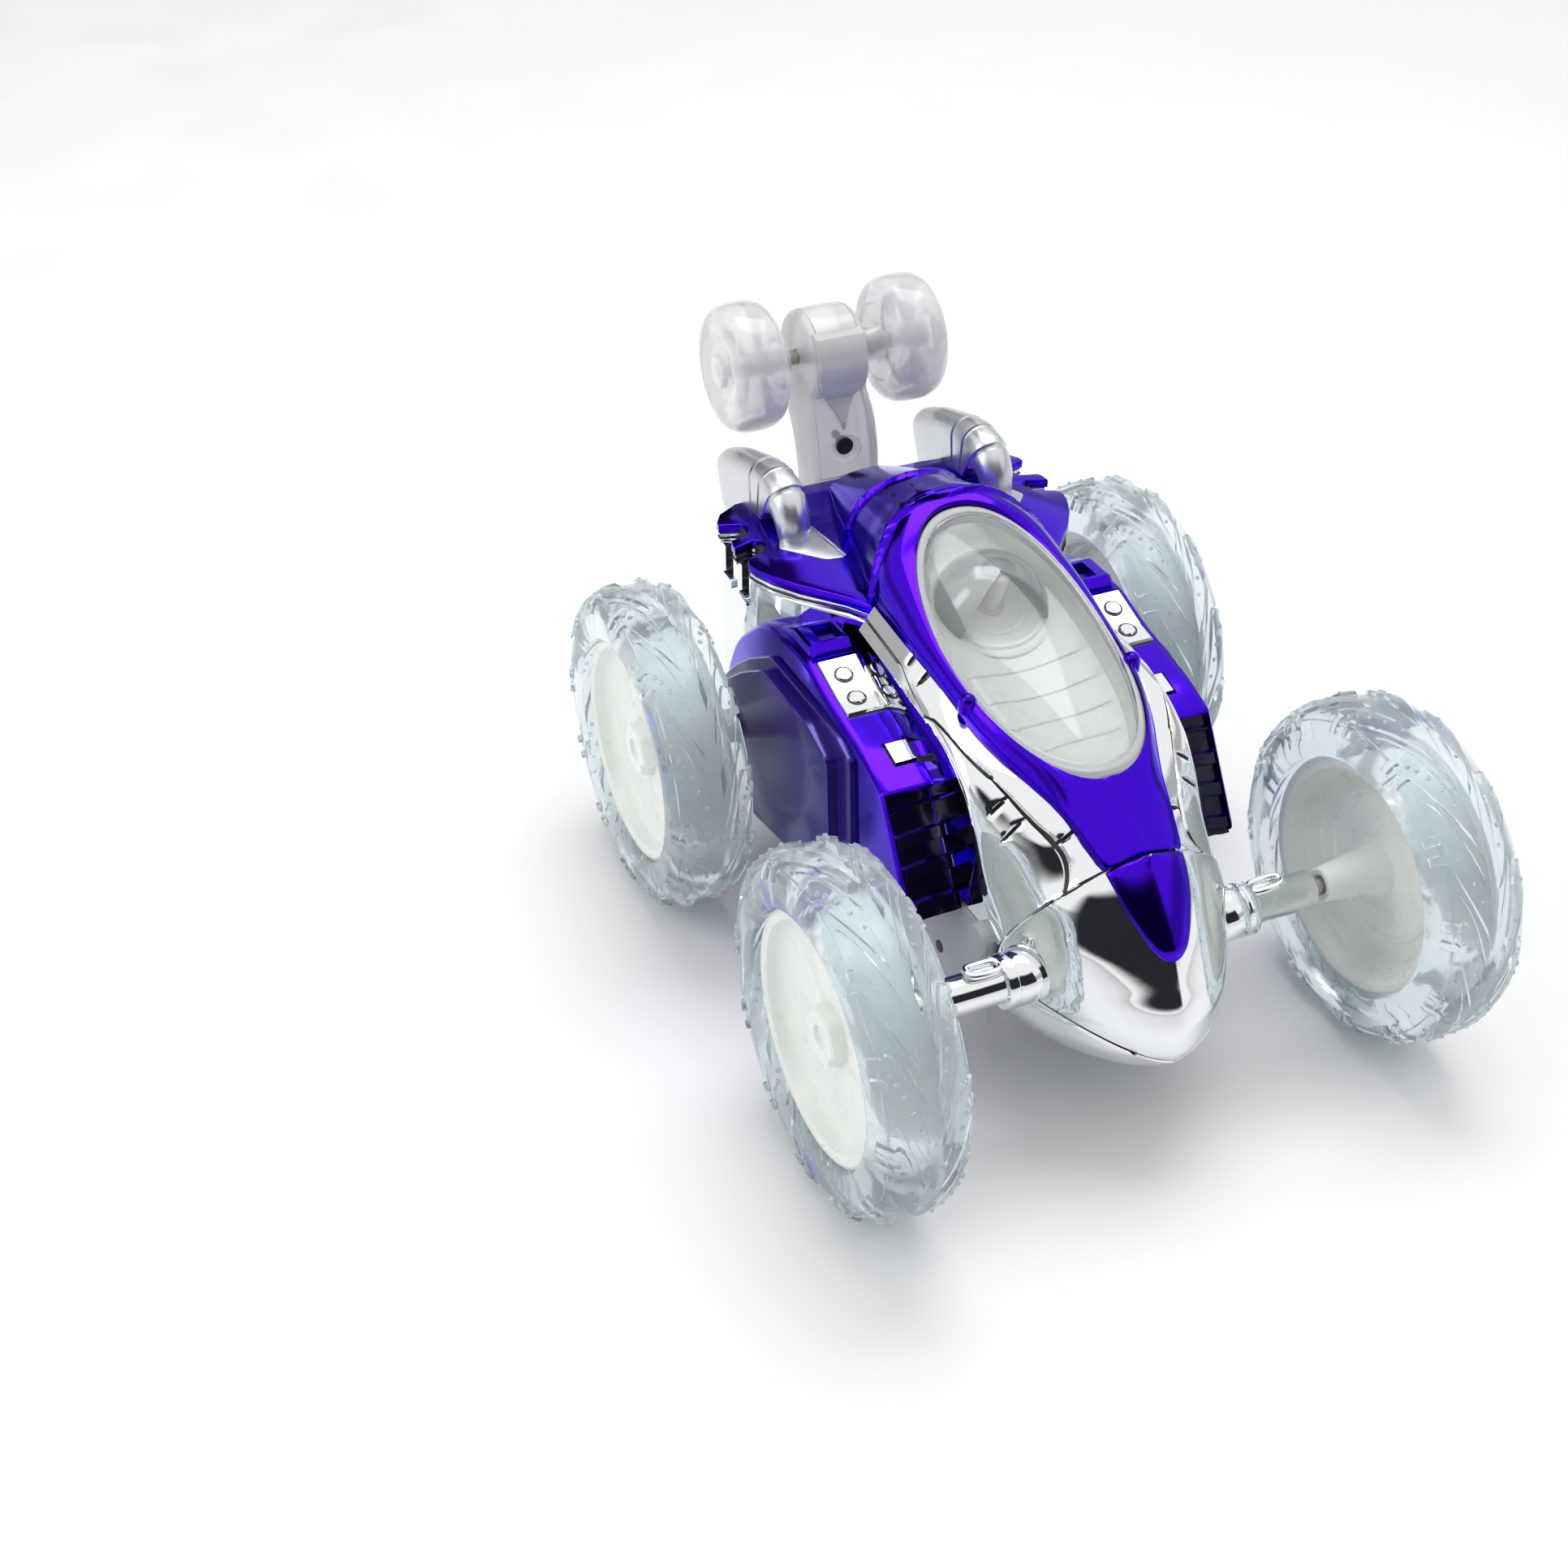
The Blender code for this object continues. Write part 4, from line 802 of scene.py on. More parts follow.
def make_nose():
    nose_sheet("nose_upper_shell", "nose_cover", NOSE_TOP, spread((0.0, 0.01, 0.9, 1.0), (1, 44, 8)), 0.15)
    nose_sheet("nose_lower_shell", "nose_lower", NOSE_BOTTOM, spread((0.0, 0.04, 1.0), (1, 18)), -0.15)
    plate = prism("nose_floor", [nose_point(NOSE_BOTTOM + 0.1, k / 15)[:2] for k in range(-15, 16)],
                  NOSE_BOTTOM, NOSE_BOTTOM + 1.0, "Z", CHROME)
    settle(plate, "chrome")

    heights = spread((43.2, 43.8, 46.0, 56.0, 58.5), (3, 5, 18, 8))
    shares = spread((-1.0, -0.9, 0.9, 1.0), (2, 16, 2))
    tongue = shell("nose_tongue", *sheet(heights, shares, tongue_cell), 0.4, NOSE_INSIDE, PURPLE, smooth=60)
    settle(tongue, "purple", "nose_stripe")

    seam = []
    for z in spread((30.0, 50.0, 57.6, 58.5), (14, 12, 4)):
        half, back, _ = curve(NOSE_SLICES, z)
        seam.append((half - 0.7, back, z))
    line = [(-x, y, z) for x, y, z in seam] + seam[::-1]
    rows = [[(x, y - 0.9, z - 0.3) for x, y, z in line], [(x, y + 1.1, z - 0.3) for x, y, z in line]]
    lining = shell("seam_lining", rows, [[0.0] * len(line)] * 2, 0.5, (0, 3, 30), BLACK, smooth=60)
    settle(lining, "black")


# ---- axle beam ----
def make_axle_beam():
    profile = [(0, 1.9), (0, 3.75), (19.0, 3.75), (19.0, 5.0), (19.3, 5.25), (24.0, 5.25), (24.4, 5.0),
               (24.7, 4.95), (25.0, 5.25), (26.7, 5.25), (27.0, 5.0), (27.0, 3.95), (27.3, 3.75),
               (40.6, 3.75), (41.0, 3.4), (41.0, 1.9)]
    for side, sign in SIDES:
        beam = turned(f"axle_tube_{side}", profile, (0, 0, WHEEL_R), "X", CHROME, flip=sign, smooth=40)
        settle(beam, "chrome", "front_axle_beam")
        loop = []
        for k in range(28):
            turn = 2 * math.pi * k / 28
            along, across = superellipse(turn, 3.4, 1.5, 3.2)
            loop.append((sign * (30.3 + along), across, WHEEL_R + 4.5 + 0.25 * math.cos(turn)))
        clip = tube_along(f"axle_clip_{side}", loop, 0.75, CHROME, closed=True)
        settle(clip, "chrome")
        foot = box(f"axle_clip_foot_{side}", (sign * 28.0, -1.2, WHEEL_R + 3.0),
                   (sign * 32.6, 1.2, WHEEL_R + 4.3), CHROME, edge=0.2)
        settle(foot, "chrome")


# ---- the body's chrome sides ----
# y, half-width and height of the foot of the purple spine, and the height of the shoulder at FLANK_X
FLANK = (
    (-3.0, 8.2, 56.2, 39.6), (6.0, 10.4, 61.2, 43.0), (11.0, 11.9, 62.8, 47.0), (16.0, 13.9, 64.6, 53.5),
    (22.0, 16.3, 66.8, 61.5), (32.0, 18.8, 70.2, 67.0), (45.0, 20.0, 73.4, 69.4), (56.0, 20.7, 75.2, 70.8),
    (66.6, 20.9, 76.4, 72.0),
)
FLANK_X, BODY_FLOOR = 24.0, 38.0
SEAM_Y = -3.0  # where the body meets the nose at the foot of the spine
LEAN_TOP, LEAN_SLOPE, LEAN_REACH = 58.0, 0.47, 34
UNDERCUT = 4.6  # how far the wall below the shoulder stands in beside the pods
# y and the share of the flank's width where the rail's double line runs
RAIL_LINE = ((-3.0, 0.24), (6.75, 0.2), (11.75, 0.18), (16.5, 0.2), (20.75, 0.24), (26.5, 0.38),
             (30.75, 0.48), (36.0, 0.66), (39.0, 0.93), (46.5, 0.76), (51.75, 0.54), (61.75, 0.52),
             (66.6, 0.52))
# Cross grooves: y, first and last share of the width
NOTCHES = ((6.0, -1.0, 0.2), (12.0, 0.26, 0.52), (16.25, 0.26, 0.52), (45.25, -1.0, 0.4), (50.25, -1.0, 0.32))


def lean(y, z):
    """How far a section leans back at its lower points, near the seam of the nose."""
    return max(0.0, LEAN_TOP - z) * LEAN_SLOPE * max(0.0, 1 - (y - SEAM_Y) / LEAN_REACH)


def flank_point(y, share):
    """share runs from 0 at the spine's foot to 1 at the shoulder, and on to 2 at the bottom of the wall."""
    edge_x, edge_z, shoulder = curve(FLANK, y)
    across = min(share, 1.0)
    swell = 4 * across * (1 - across) * 3.0 * max(0.0, 1 - (y - SEAM_Y) / 50)
    x = edge_x + (FLANK_X - edge_x) * across + swell * 1.3
    z = edge_z + (shoulder - edge_z) * across + swell * 0.8
    front = 1 - (1 - min(1.0, max(0.0, (y - SEAM_Y) / 16.0))) ** 2
    if front < 1:
        seam_z = edge_z + (shoulder - edge_z) * across
        x = x * front + (curve(NOSE_SLICES, seam_z)[0] + 0.05) * (1 - front)
        z = z * front + seam_z * (1 - front)
    if share > 1:
        z -= (z - BODY_FLOOR) * (share - 1)
        x += (FLANK_X - UNDERCUT * ease(y, 14.0, 27.0) - x) * ease(share, 1.0, 1.12)
    return x, y + lean(y, z), z


def flank_width(y):
    """Roughly how many mm of the flank's surface one share stands for."""
    return 18.0 if y < 20 else 9.0


def flank_lift(y, share, rail):
    """Depth of the grooves, of the step outside the rail and of the edge at the seam."""
    lift = -0.5 * groove((share - rail) * flank_width(y), 0.5)
    if share > rail and y < 37:
        lift -= 0.35
    for at, low, high in NOTCHES:
        if low - 0.02 < share < high + 0.02:
            within = ease(share, low - 0.02, low + 0.04) * (1 - ease(share, high - 0.04, high))
            lift -= 0.6 * groove(y - at, 0.42) * within
    return lift - (0.3 if y < -2.8 else 0.0)


def in_painted_groove_shade(y, share, rail):
    """Whether a face lies at the bottom of the rail's line or of a cross groove, where black is painted in as
    shade.
    """
    if abs(share - rail) * flank_width(y) < 0.2:
        return True
    return any(abs(y - at) < 0.25 and max(low, 0.03) < share < high for at, low, high in NOTCHES)


def make_flanks():
    stations = [SEAM_Y, -2.7]
    stations += spread((-2.4, 5.4, 6.6, 11.4, 12.6, 15.6, 16.9, 44.6, 45.9, 49.6, 50.9, 66.6),
                       (12, 4, 8, 4, 5, 4, 36, 4, 6, 4, 18))
    base, lift, table = [], [], []
    for y in stations:
        rail = straight(RAIL_LINE, y)[0]
        width = 0.5 / flank_width(y)
        stops = (-0.04, 0.02, rail - width, rail, rail + width, max(rail + width + 0.03, 0.6), 1.04, 1.3, 2.0)
        shares = spread(stops, (1, 5, 3, 3, 8, 10, 4, 6))
        base.append([flank_point(y, share) for share in shares])
        lift.append([flank_lift(y, share, rail) for share in shares])
        table.append((y, rail, shares))
    # The grooves' bottom faces get the black as painted shade, for crisp dark lines.
    slots = []
    for (y, rail, shares), (next_y, next_rail, next_shares) in zip(table, table[1:]):
        for column in range(len(shares) - 1):
            middle = 0.25 * (shares[column] + shares[column + 1] + next_shares[column]
                             + next_shares[column + 1])
            slots.append(int(in_painted_groove_shade(0.5 * (y + next_y), middle, 0.5 * (rail + next_rail))))
    for side, points in (("left", base), ("right", mirrored(base))):
        piece = shell(f"flank_{side}", points, lift, 1.0, (0, 30, 35), [CHROME, BLACK], smooth=30,
                      slots=slots)
        settle(piece, "chrome", "body_shell")


# ---- the purple spine ----
# y, half-width and height of the inner plateau, of the crest, and of the foot of the side wall
SPINE = (
    (-3.0, 0.3, 58.9, 7.7, 57.0, 8.0, 56.2), (6.0, 3.6, 63.9, 9.8, 62.2, 10.1, 61.2),
    (11.0, 7.4, 67.0, 11.3, 64.0, 11.6, 62.8), (16.0, 10.6, 69.3, 13.2, 65.9, 13.6, 64.6),
    (22.0, 13.6, 71.2, 15.6, 68.1, 16.0, 66.8), (32.0, 16.5, 73.9, 18.1, 71.4, 18.5, 70.2),
    (45.0, 17.2, 77.4, 19.2, 74.8, 19.7, 73.4), (56.0, 16.0, 81.7, 20.0, 76.8, 20.4, 75.2),
    (66.0, 13.0, 86.0, 20.0, 77.8, 20.4, 76.0), (73.0, 7.0, 90.4, 18.6, 77.4, 19.0, 75.6),
    (78.0, 2.0, 92.2, 17.2, 77.0, 17.8, 75.4), (85.0, 0.3, 91.0, 15.2, 76.8, 15.8, 75.4),
    (93.0, 0.3, 88.6, 13.4, 76.8, 14.0, 75.4), (103.0, 0.3, 84.6, 11.4, 76.8, 12.0, 75.4),
    (112.9, 0.3, 80.2, 8.8, 76.8, 9.2, 75.4),
)
CANOPY_Y, CANOPY_HALF, CANOPY_POWER = (10.6, 74.4), 17.0, 2.2
CANOPY_SIDES, HOLE_SCALE, TUB_SCALE = 96, 1.006, 0.915
# The canopy's edge: a y, the height there, and the slope and bend away from it
CANOPY_EDGE = (42.0, 76.2, 0.3422, 0.002394)
# Two hoops cross the hump: half-width and y of each one's line
FRONT_HOOP = ((0.0, 77.2), (6.0, 77.6), (12.4, 76.5), (15.5, 74.0), (19.0, 71.0))
REAR_HOOP = ((0.0, 91.3), (4.4, 92.0), (8.5, 93.6), (11.6, 94.6), (14.0, 95.4))


def ring_height(y):
    """Height of the canopy's edge, which climbs faster towards the tail."""
    start, height, slope, bend = CANOPY_EDGE
    off = y - start
    return height + slope * off + bend * off * off


def canopy_outline(scale):
    """Points (x, y) round the canopy, scaled about its middle."""
    middle, half = 0.5 * sum(CANOPY_Y), 0.5 * (CANOPY_Y[1] - CANOPY_Y[0])
    points = []
    for step in range(CANOPY_SIDES):
        turn = 2 * math.pi * step / CANOPY_SIDES
        x, y = superellipse(turn, CANOPY_HALF * scale, half * scale, CANOPY_POWER)
        points.append((x, middle + y))
    return points


def spine_row(y):
    """The spine's section at y, from the foot of its right wall to the foot of its left one."""
    inner, top, crest, crest_z, foot, foot_z = curve(SPINE, y)
    round_top = ease(y, 50.0, 72.0)
    half = []
    for share in (0.0, 0.25, 0.5, 0.75, 0.93):
        half.append((inner * share, top))
    for share in [math.sin(math.pi / 2 * k / 16) for k in range(17)]:
        x = inner + (crest - inner) * share
        flat = (1 - share * share) ** 0.85
        domed = math.sqrt(max(0.0, 1 - share * share))
        half.append((x, crest_z + (top - crest_z) * (flat * (1 - round_top) + domed * round_top)))
    bead = 0.35 * (1 - round_top)
    half += [(crest + (foot - crest) * 0.15 + bead * 0.4, crest_z + bead * 0.5 - (crest_z - foot_z) * 0.05),
             (crest + (foot - crest) * 0.4 + bead * 0.5, crest_z - (crest_z - foot_z) * 0.2),
             (crest + (foot - crest) * 0.7, crest_z - (crest_z - foot_z) * 0.6), (foot, foot_z),
             (foot, foot_z - 0.8)]
    whole = [(-x, z) for x, z in reversed(half[1:])] + half
    return [(x, y + lean(y, z), z) for x, z in whole]


def hoop_lift(x, y):
    """Height of the hoops behind the canopy and of the ridge in front of it."""
    lift = 0.0
    if y > 66:
        for hoop in (FRONT_HOOP, REAR_HOOP):
            off = y - straight(hoop, abs(x))[0]
            lift += 0.9 * groove(off + 0.8, 0.9) - 0.8 * groove(off - 0.35, 0.6)
    elif y < CANOPY_Y[0]:  # the ridge along the middle in front of the canopy
        lift += 0.25 * groove(x, 0.9)
    return lift


def make_spine():
    stations = [SEAM_Y, -2.7] + spread((-2.4, 10.0, 66.0, 70.0, 100.0, 112.9), (10, 42, 8, 80, 10))
    base = [spine_row(y) for y in stations]
    lift = [[hoop_lift(p[0], y) - (0.3 if y == SEAM_Y else 0.0) for p in row]
            for y, row in zip(stations, base)]
    spine = shell("spine_skin", base, lift, 1.0, (0, 45, 30), PURPLE, smooth=38)
    hole = prism("canopy_hole", canopy_outline(HOLE_SCALE), 50.0, 120.0, "Z", body=None)
    cut(spine, [hole], solver="MANIFOLD", smooth=38)
    settle(spine, "purple", "spine_cover")
    for side, sign in SIDES:
        lug = turned(f"canopy_lug_{side}", [(0, 0), (0, 1.7), (2.4, 1.7), (3.2, 1.3), (3.7, 0.6), (3.8, 0)],
                     (sign * 17.6, 33.5, 71.6), "Z", PURPLE, sides=24, smooth=50)
        settle(lug, "purple")


# ---- canopy and cockpit ----
def bowl_rows(rings):
    """Rows round the canopy. Each ring is (share of the outline, height above the edge line, crown)."""
    rows = []
    for share, rise, crown in rings:
        rows.append([(x, y, ring_height(y) + rise + crown * (1 - share * share))
                     for x, y in canopy_outline(share)])
    return rows


def bowl(name, rings, look, thickness):
    """A canopy-shaped closed sheet, thickened inwards, whose last ring closes to a point."""
    middle = 0.5 * sum(CANOPY_Y)
    rows = bowl_rows(rings)
    count = len(rows[0])
    points, faces = [p for row in rows for p in row], grid(len(rows), count, wrap=True)
    last = (len(rows) - 1) * count
    points.append((0.0, middle, ring_height(middle) + rings[-1][1] + rings[-1][2]))
    faces += [(last + i, last + (i + 1) % count, len(points) - 1) for i in range(count)]
    below = len(points)
    points += [(x * 0.985, middle + (y - middle) * 0.985, z - thickness) for x, y, z in points]
    faces += [tuple(below + i for i in reversed(face)) for face in faces]
    faces += [(i, (i + 1) % count, below + (i + 1) % count, below + i) for i in range(count)]
    return made(name, points, faces, look, smooth=40)


COCKPIT_GROOVES = (17.5, 23.5, 29.8, 36.2, 42.6)
LAMP_Y, LAMP_TILT = 57.0, math.radians(21)
REFLECTOR_R, REFLECTOR_H = 11.6, 10.4
# Rings of the dome from its edge in, and of the rim round it: share of the outline, height and crown
DOME_EDGE = ((1.0, -1.6, 0.0), (1.0, -0.2, 0.0), (0.994, 0.25, 0.0), (0.98, 0.55, 0.0), (0.955, 0.7, 0.0),
             (0.935, 0.75, 0.05))
DOME_SHARES = (0.92, 0.9, 0.86, 0.8, 0.72, 0.62, 0.5, 0.36, 0.22, 0.1)
RIM_RINGS = ((1.0, -2.6), (1.003, -0.1), (0.99, 0.35), (0.965, 0.5), (0.935, 0.35), (0.925, -0.2),
             (0.92, -3.2), (0.97, -3.2))
TUB_SHARES = (0.1, 0.3, 0.5, 0.65, 0.8, 0.9, 0.95, 0.985, 1)


def make_cockpit():
    dome = list(DOME_EDGE) + [(share, 0.8, 5.6 * ease(1 - share, 0.0, 0.12)) for share in DOME_SHARES]
    cover = bowl("canopy_shell", dome, CANOPY, 0.7)
    settle(cover, "canopy", "canopy")
    rows = bowl_rows([(share, rise - 0.25, 0.0) for share, rise in RIM_RINGS])
    rim = loft("canopy_rim", rows, RIM, smooth=40, closed=True)
    settle(rim, "frosted")

    middle, half = 0.5 * sum(CANOPY_Y), 0.5 * (CANOPY_Y[1] - CANOPY_Y[0]) * TUB_SCALE

    def tub_cell(y, share):
        reach = max(0.002, 1 - (abs(y - middle) / half) ** CANOPY_POWER) ** (1 / CANOPY_POWER)
        deep = min(1 - abs(share), 1 - abs(y - middle) / half)
        x = CANOPY_HALF * TUB_SCALE * reach * share
        z = ring_height(y) - 1.2 - 3.4 * ease(deep, 0.0, 0.12) - 1.6 * ease(deep, 0.1, 0.9)
        near = min(abs(y - at) for at in COCKPIT_GROOVES)
        return (x, y, z), -0.4 * groove(near, 0.42) * ease(0.84 - abs(share), 0.0, 0.1)

    stations = [middle - half * math.cos(math.pi * k / 26) for k in range(27)]
    stations += [y + d for y in COCKPIT_GROOVES for d in (-0.45, -0.2, 0.0, 0.2, 0.45)]
    shares = [-share for share in reversed(TUB_SHARES)] + list(TUB_SHARES)
    tub = shell("cockpit_tub", *sheet(sorted(stations), shares, tub_cell), 1.0, (0, 42, 0), WHITE, smooth=30)
    settle(tub, "white", "cockpit_insert")

    make_reflector()


def tilted(points, base):
    """Points about the Z axis leant forward with the cockpit floor and moved to base."""
    c, s = math.cos(LAMP_TILT), math.sin(LAMP_TILT)
    return [(x + base[0], y * c - z * s + base[1], y * s + z * c + base[2]) for x, y, z in points]


def make_reflector():
    base = (0.0, LAMP_Y + 1.0, ring_height(LAMP_Y) - 5.6)
    steps = [(-0.2, 3.0), (0.35, 3.0), (0.5, 3.4), (0.1, 4.6), (0.1, 6.2), (0.6, 6.6), (0.6, 7.2),
             (0.1, 7.6), (0.1, 9.6), (0.7, 10.0), (0.7, 10.7), (0.15, 11.1), (0.15, 12.0), (0.55, 12.3),
             (0.4, 12.8), (-0.2, 13.0)]
    points, faces = revolve(steps, 72)
    rings = made("reflector_rings", tilted([(u, v, s) for s, u, v in points], base), faces, WHITE, smooth=30)
    settle(rings, "white")
    surface = []
    for rise in spread((0.0, 90.0), (14,)):
        r = REFLECTOR_R * math.cos(math.radians(min(rise, 88.5)))
        z = REFLECTOR_H * math.sin(math.radians(rise))
        surface.append(tilted([(r * math.cos(math.radians(a)), r * math.sin(math.radians(a)), z)
                               for a in spread((-35.0, 215.0), (36,))], base))
    flat = [[0.0] * len(surface[0])] * len(surface)
    cover = shell("reflector_dome", surface, flat, 0.6, tilted([(0, 0, 2)], base)[0], SMOKE, smooth=50)
    settle(cover, "canopy", "cockpit_dome")
    post = [(0.2, 0), (0.2, 2.8), (0.9, 2.8), (1.1, 2.0), (9.0, 1.9), (9.4, 1.6), (9.5, 0)]
    points, faces = revolve(post, 32)
    placed = tilted([(u, v, s) for s, u, v in points], base)
    stem = made("reflector_post", placed, faces, CHASSIS, smooth=35)
    settle(stem, "white", "cockpit_lamp")


# ---- side pods ----
# Outline of the pod from the side, as (y, z), and of the two stepped plates on its outer face
POD_SIDE = (
    (18.0, 38.5), (31.2, 59.3), (39.0, 62.0), (55.0, 64.6), (66.0, 68.0), (76.0, 67.6), (85.0, 65.8),
    (89.5, 63.6), (101.3, 53.4), (106.2, 43.0), (107.4, 35.0), (104.5, 26.0), (96.0, 20.6), (84.0, 18.6),
    (60.0, 22.0), (26.0, 31.0),
)
POD_CORNERS = (0.6, 0.6, 5.0, 5.0, 3.0, 3.0, 6.0, 5.0, 9.0, 7.0, 7.0, 7.0, 7.0, 7.0, 8.0, 3.0)
PLATE_SIDE = ((46.5, 37.5), (48.0, 57.0), (57.9, 60.0), (79.0, 59.5), (89.5, 52.8), (96.0, 47.6),
              (104.0, 41.5), (105.6, 35.0), (103.4, 27.0), (95.6, 21.6), (84.0, 20.0), (64.0, 24.0))
STEP_SIDE = ((41.0, 34.5), (42.5, 59.5), (48.5, 61.5), (57.0, 62.2), (80.0, 61.6), (90.8, 54.8),
             (98.0, 49.0), (104.8, 42.2), (106.4, 35.0), (104.0, 26.2), (96.0, 21.0), (84.0, 19.2),
             (62.0, 22.6))
# x of a ring of the pod and how far its outline is drawn in there
POD_RINGS = ((36.0, 1.5), (35.85, 0.9), (35.4, 0.35), (34.7, 0.06), (34.0, 0.0), (25.5, 0.0), (25.2, 0.05),
             (23.2, 0.85), (21.0, 2.3), (20.0, 3.0), (18.6, 3.9))
FRONT_FOOT, FRONT_TOP = POD_SIDE[:2]
POD_TOP = POD_SIDE[1:6]
PLATE_RINGS = ((36.3, 0.0), (39.35, 0.0), (39.6, 0.3), (39.65, 0.9))
STEP_RINGS = ((35.6, 0.0), (37.1, 0.0), (37.35, 0.3))
HUMP_RINGS = ((34.2, 0.9), (34.0, 0.4), (33.4, 0.0), (25.6, 0.0), (24.2, 0.7), (22.4, 1.9))
# What is cut from the pod's top: inner and outer x, first and last y, and heights from its surface
TOP_CUTS = (("latch_pocket", 21.6, 31.0, 36.0, 41.9, -0.9, 3.0),
            ("latch_slot", 25.0, 25.7, 31.0, 37.0, -0.55, 3.0),
            ("badge_step", 18.0, 34.5, 65.3, 65.8, -0.5, 3.0))
VENT_CREASE_X = 25.4
HUMP_SIDE = ((65.9, 64.0), (66.3, 68.9), (68.0, 70.2), (75.5, 70.0), (82.0, 66.5), (82.0, 62.0))
# Distance down the front face from its top edge where each ledge starts and ends
VENT_LEDGES = ((3.2, 3.9), (8.3, 10.8), (14.3, 17.0), (21.2, 23.7))
VENT_COLUMNS = (35.2, 34.6, 33.8, 32.6, 32.0, 29.0, 25.85, 25.65, 25.4, 25.15, 24.95, 22.6, 19.0)


BADGE_X, BADGE_RISE = (33.9, 33.7, 33.5, 26.0, 25.5, 25.0, 23.4, 21.6, 21.4, 21.2), 0.85
BADGE_STUDS = ((30.2, 60.4), (30.2, 54.4), (23.3, 60.6), (23.3, 54.8))


def face_frame(x, down, out):
    """A point on the pod's slanting front: x, distance down from its top edge and distance out of it."""
    a, b = np.array(FRONT_TOP), np.array(FRONT_FOOT)
    length = np.linalg.norm(b - a)
    along = (b - a) / length
    normal = np.array((along[1], -along[0]))
    y, z = a + along * down + normal * out
    return x, float(y), float(z)


def top_line(y):
    """Height of the pod's top at y."""
    return straight(POD_TOP, y)[0]


def tray_on_top(x_in, x_out, y_low, y_high, bottom, top, sign):
    """Front and back ring of a block that follows the pod's top, between two heights from it."""
    rings = []
    for y in (y_low, y_high):
        z = top_line(y)
        rings.append([(sign * x_in, y, z + bottom), (sign * x_out, y, z + bottom), (sign * x_out, y, z + top),
                      (sign * x_in, y, z + top)])
    return rings


def pod_inset(x):
    """How far the pod's outline is drawn in at x."""
    return straight(POD_RINGS[::-1], x)[0]


def side_rings(outline, rings, sign, radii=None, steps=5):
    """Rings for loft from an outline seen from the side.

    rings gives each x and how far the outline is drawn in there. radii rounds its corners.
    """
    placed = []
    for x, inset in rings:
        ring = shrink(outline, inset)
        if radii is not None:
            ring = rounded(ring, radii, steps)
        placed.append([(sign * x, y, z) for y, z in ring])
    return placed


def draped(name, stops_x, stations, sign, rise, look, edge=0.25):
    """A plate that stands rise above the pod's top and bends down its inner slope. stations are its ys."""
    def cell(y, x):
        rim = y in (stations[0], stations[-1]) or x in (stops_x[0], stops_x[-1])
        return (sign * x, y, top_line(y) - pod_inset(x)), rise - (edge if rim else 0.0)

    return shell(name, *sheet(stations, stops_x, cell), 0.6, (sign * 30, 50, 30), look, smooth=25)


def make_pod(side, sign):
    pod = loft(f"pod_{side}", side_rings(POD_SIDE, POD_RINGS, sign, POD_CORNERS, 4), PURPLE, smooth=24)
    vent = loft("vent_cut", [
        [face_frame(sign * x, down, out) for down, out in ((0.9, 1), (30, 1), (30, depth), (0.9, depth))]
        for x, depth in ((18.0, -5.7), (VENT_CREASE_X, -1.7), (35.2, -1.7))], [], body=None)
    cut(pod, [vent] + [loft(name, tray_on_top(*spans, sign), [], body=None) for name, *spans in TOP_CUTS],
        smooth=24)
    settle(pod, "purple", f"pod_shell_{side}")

    def vent_cell(down, x):
        lean_back = 0.55 * max(0.0, VENT_CREASE_X - x)
        ledge = any(low <= down <= high for low, high in VENT_LEDGES)
        rise = (1.25 if ledge else 0.0) * (1.0 if x < 35 else 0.4) - 0.55 * groove(x - VENT_CREASE_X, 0.3)
        return face_frame(sign * x, down + 0.35 * ease(x, 31.5, 33.5), -1.55 - lean_back), rise

    downs = [0.9]
    for low, high in VENT_LEDGES:
        downs += [low - 0.35, low + 0.1, high - 0.25, high + 0.15]
    downs += [24.9]
    # The ledges' edges and their fronts left of the crease are purple; every other face of the recess gets
    # the painted shade.
    slots = []
    for high, low in zip(downs, downs[1:]):
        middle = 0.5 * (high + low)
        edge = any(min(abs(middle - start), abs(middle - end)) < 0.2 for start, end in VENT_LEDGES)
        face = any(start < middle < end for start, end in VENT_LEDGES)
        slots += [0 if edge or (face and x < VENT_CREASE_X - 0.3) else 1 for x in VENT_COLUMNS[:-1]]
    panel = shell(f"pod_vent_{side}", *sheet(downs, VENT_COLUMNS, vent_cell), 0.5, (sign * 30, 50, 40),
                  [PURPLE, VENT_PAINTED_SHADE], smooth=20, slots=slots)
    settle(panel, "purple")

    plate = loft(f"pod_plate_{side}", side_rings(PLATE_SIDE, PLATE_RINGS, sign, 2.0), NAVY, smooth=20)
    settle(plate, "purple", f"pod_side_plate_{side}")
    second = loft(f"pod_step_plate_{side}", side_rings(STEP_SIDE, STEP_RINGS, sign, 1.5), NAVY, smooth=20)
    settle(second, "purple")

    make_badge(side, sign)
    hump = loft(f"pod_hump_{side}", side_rings(HUMP_SIDE, HUMP_RINGS, sign), PURPLE, smooth=24)
    pit = loft("hump_pit", [
        [(sign * x, y, z) for x in (26.2, 31.2)] + [(sign * x, y, z + 4) for x in (31.2, 26.2)]
        for y, z in ((68.6, 69.2), (74.6, 68.6))], [], body=None)
    cut(hump, [pit], smooth=24)
    settle(hump, "purple")


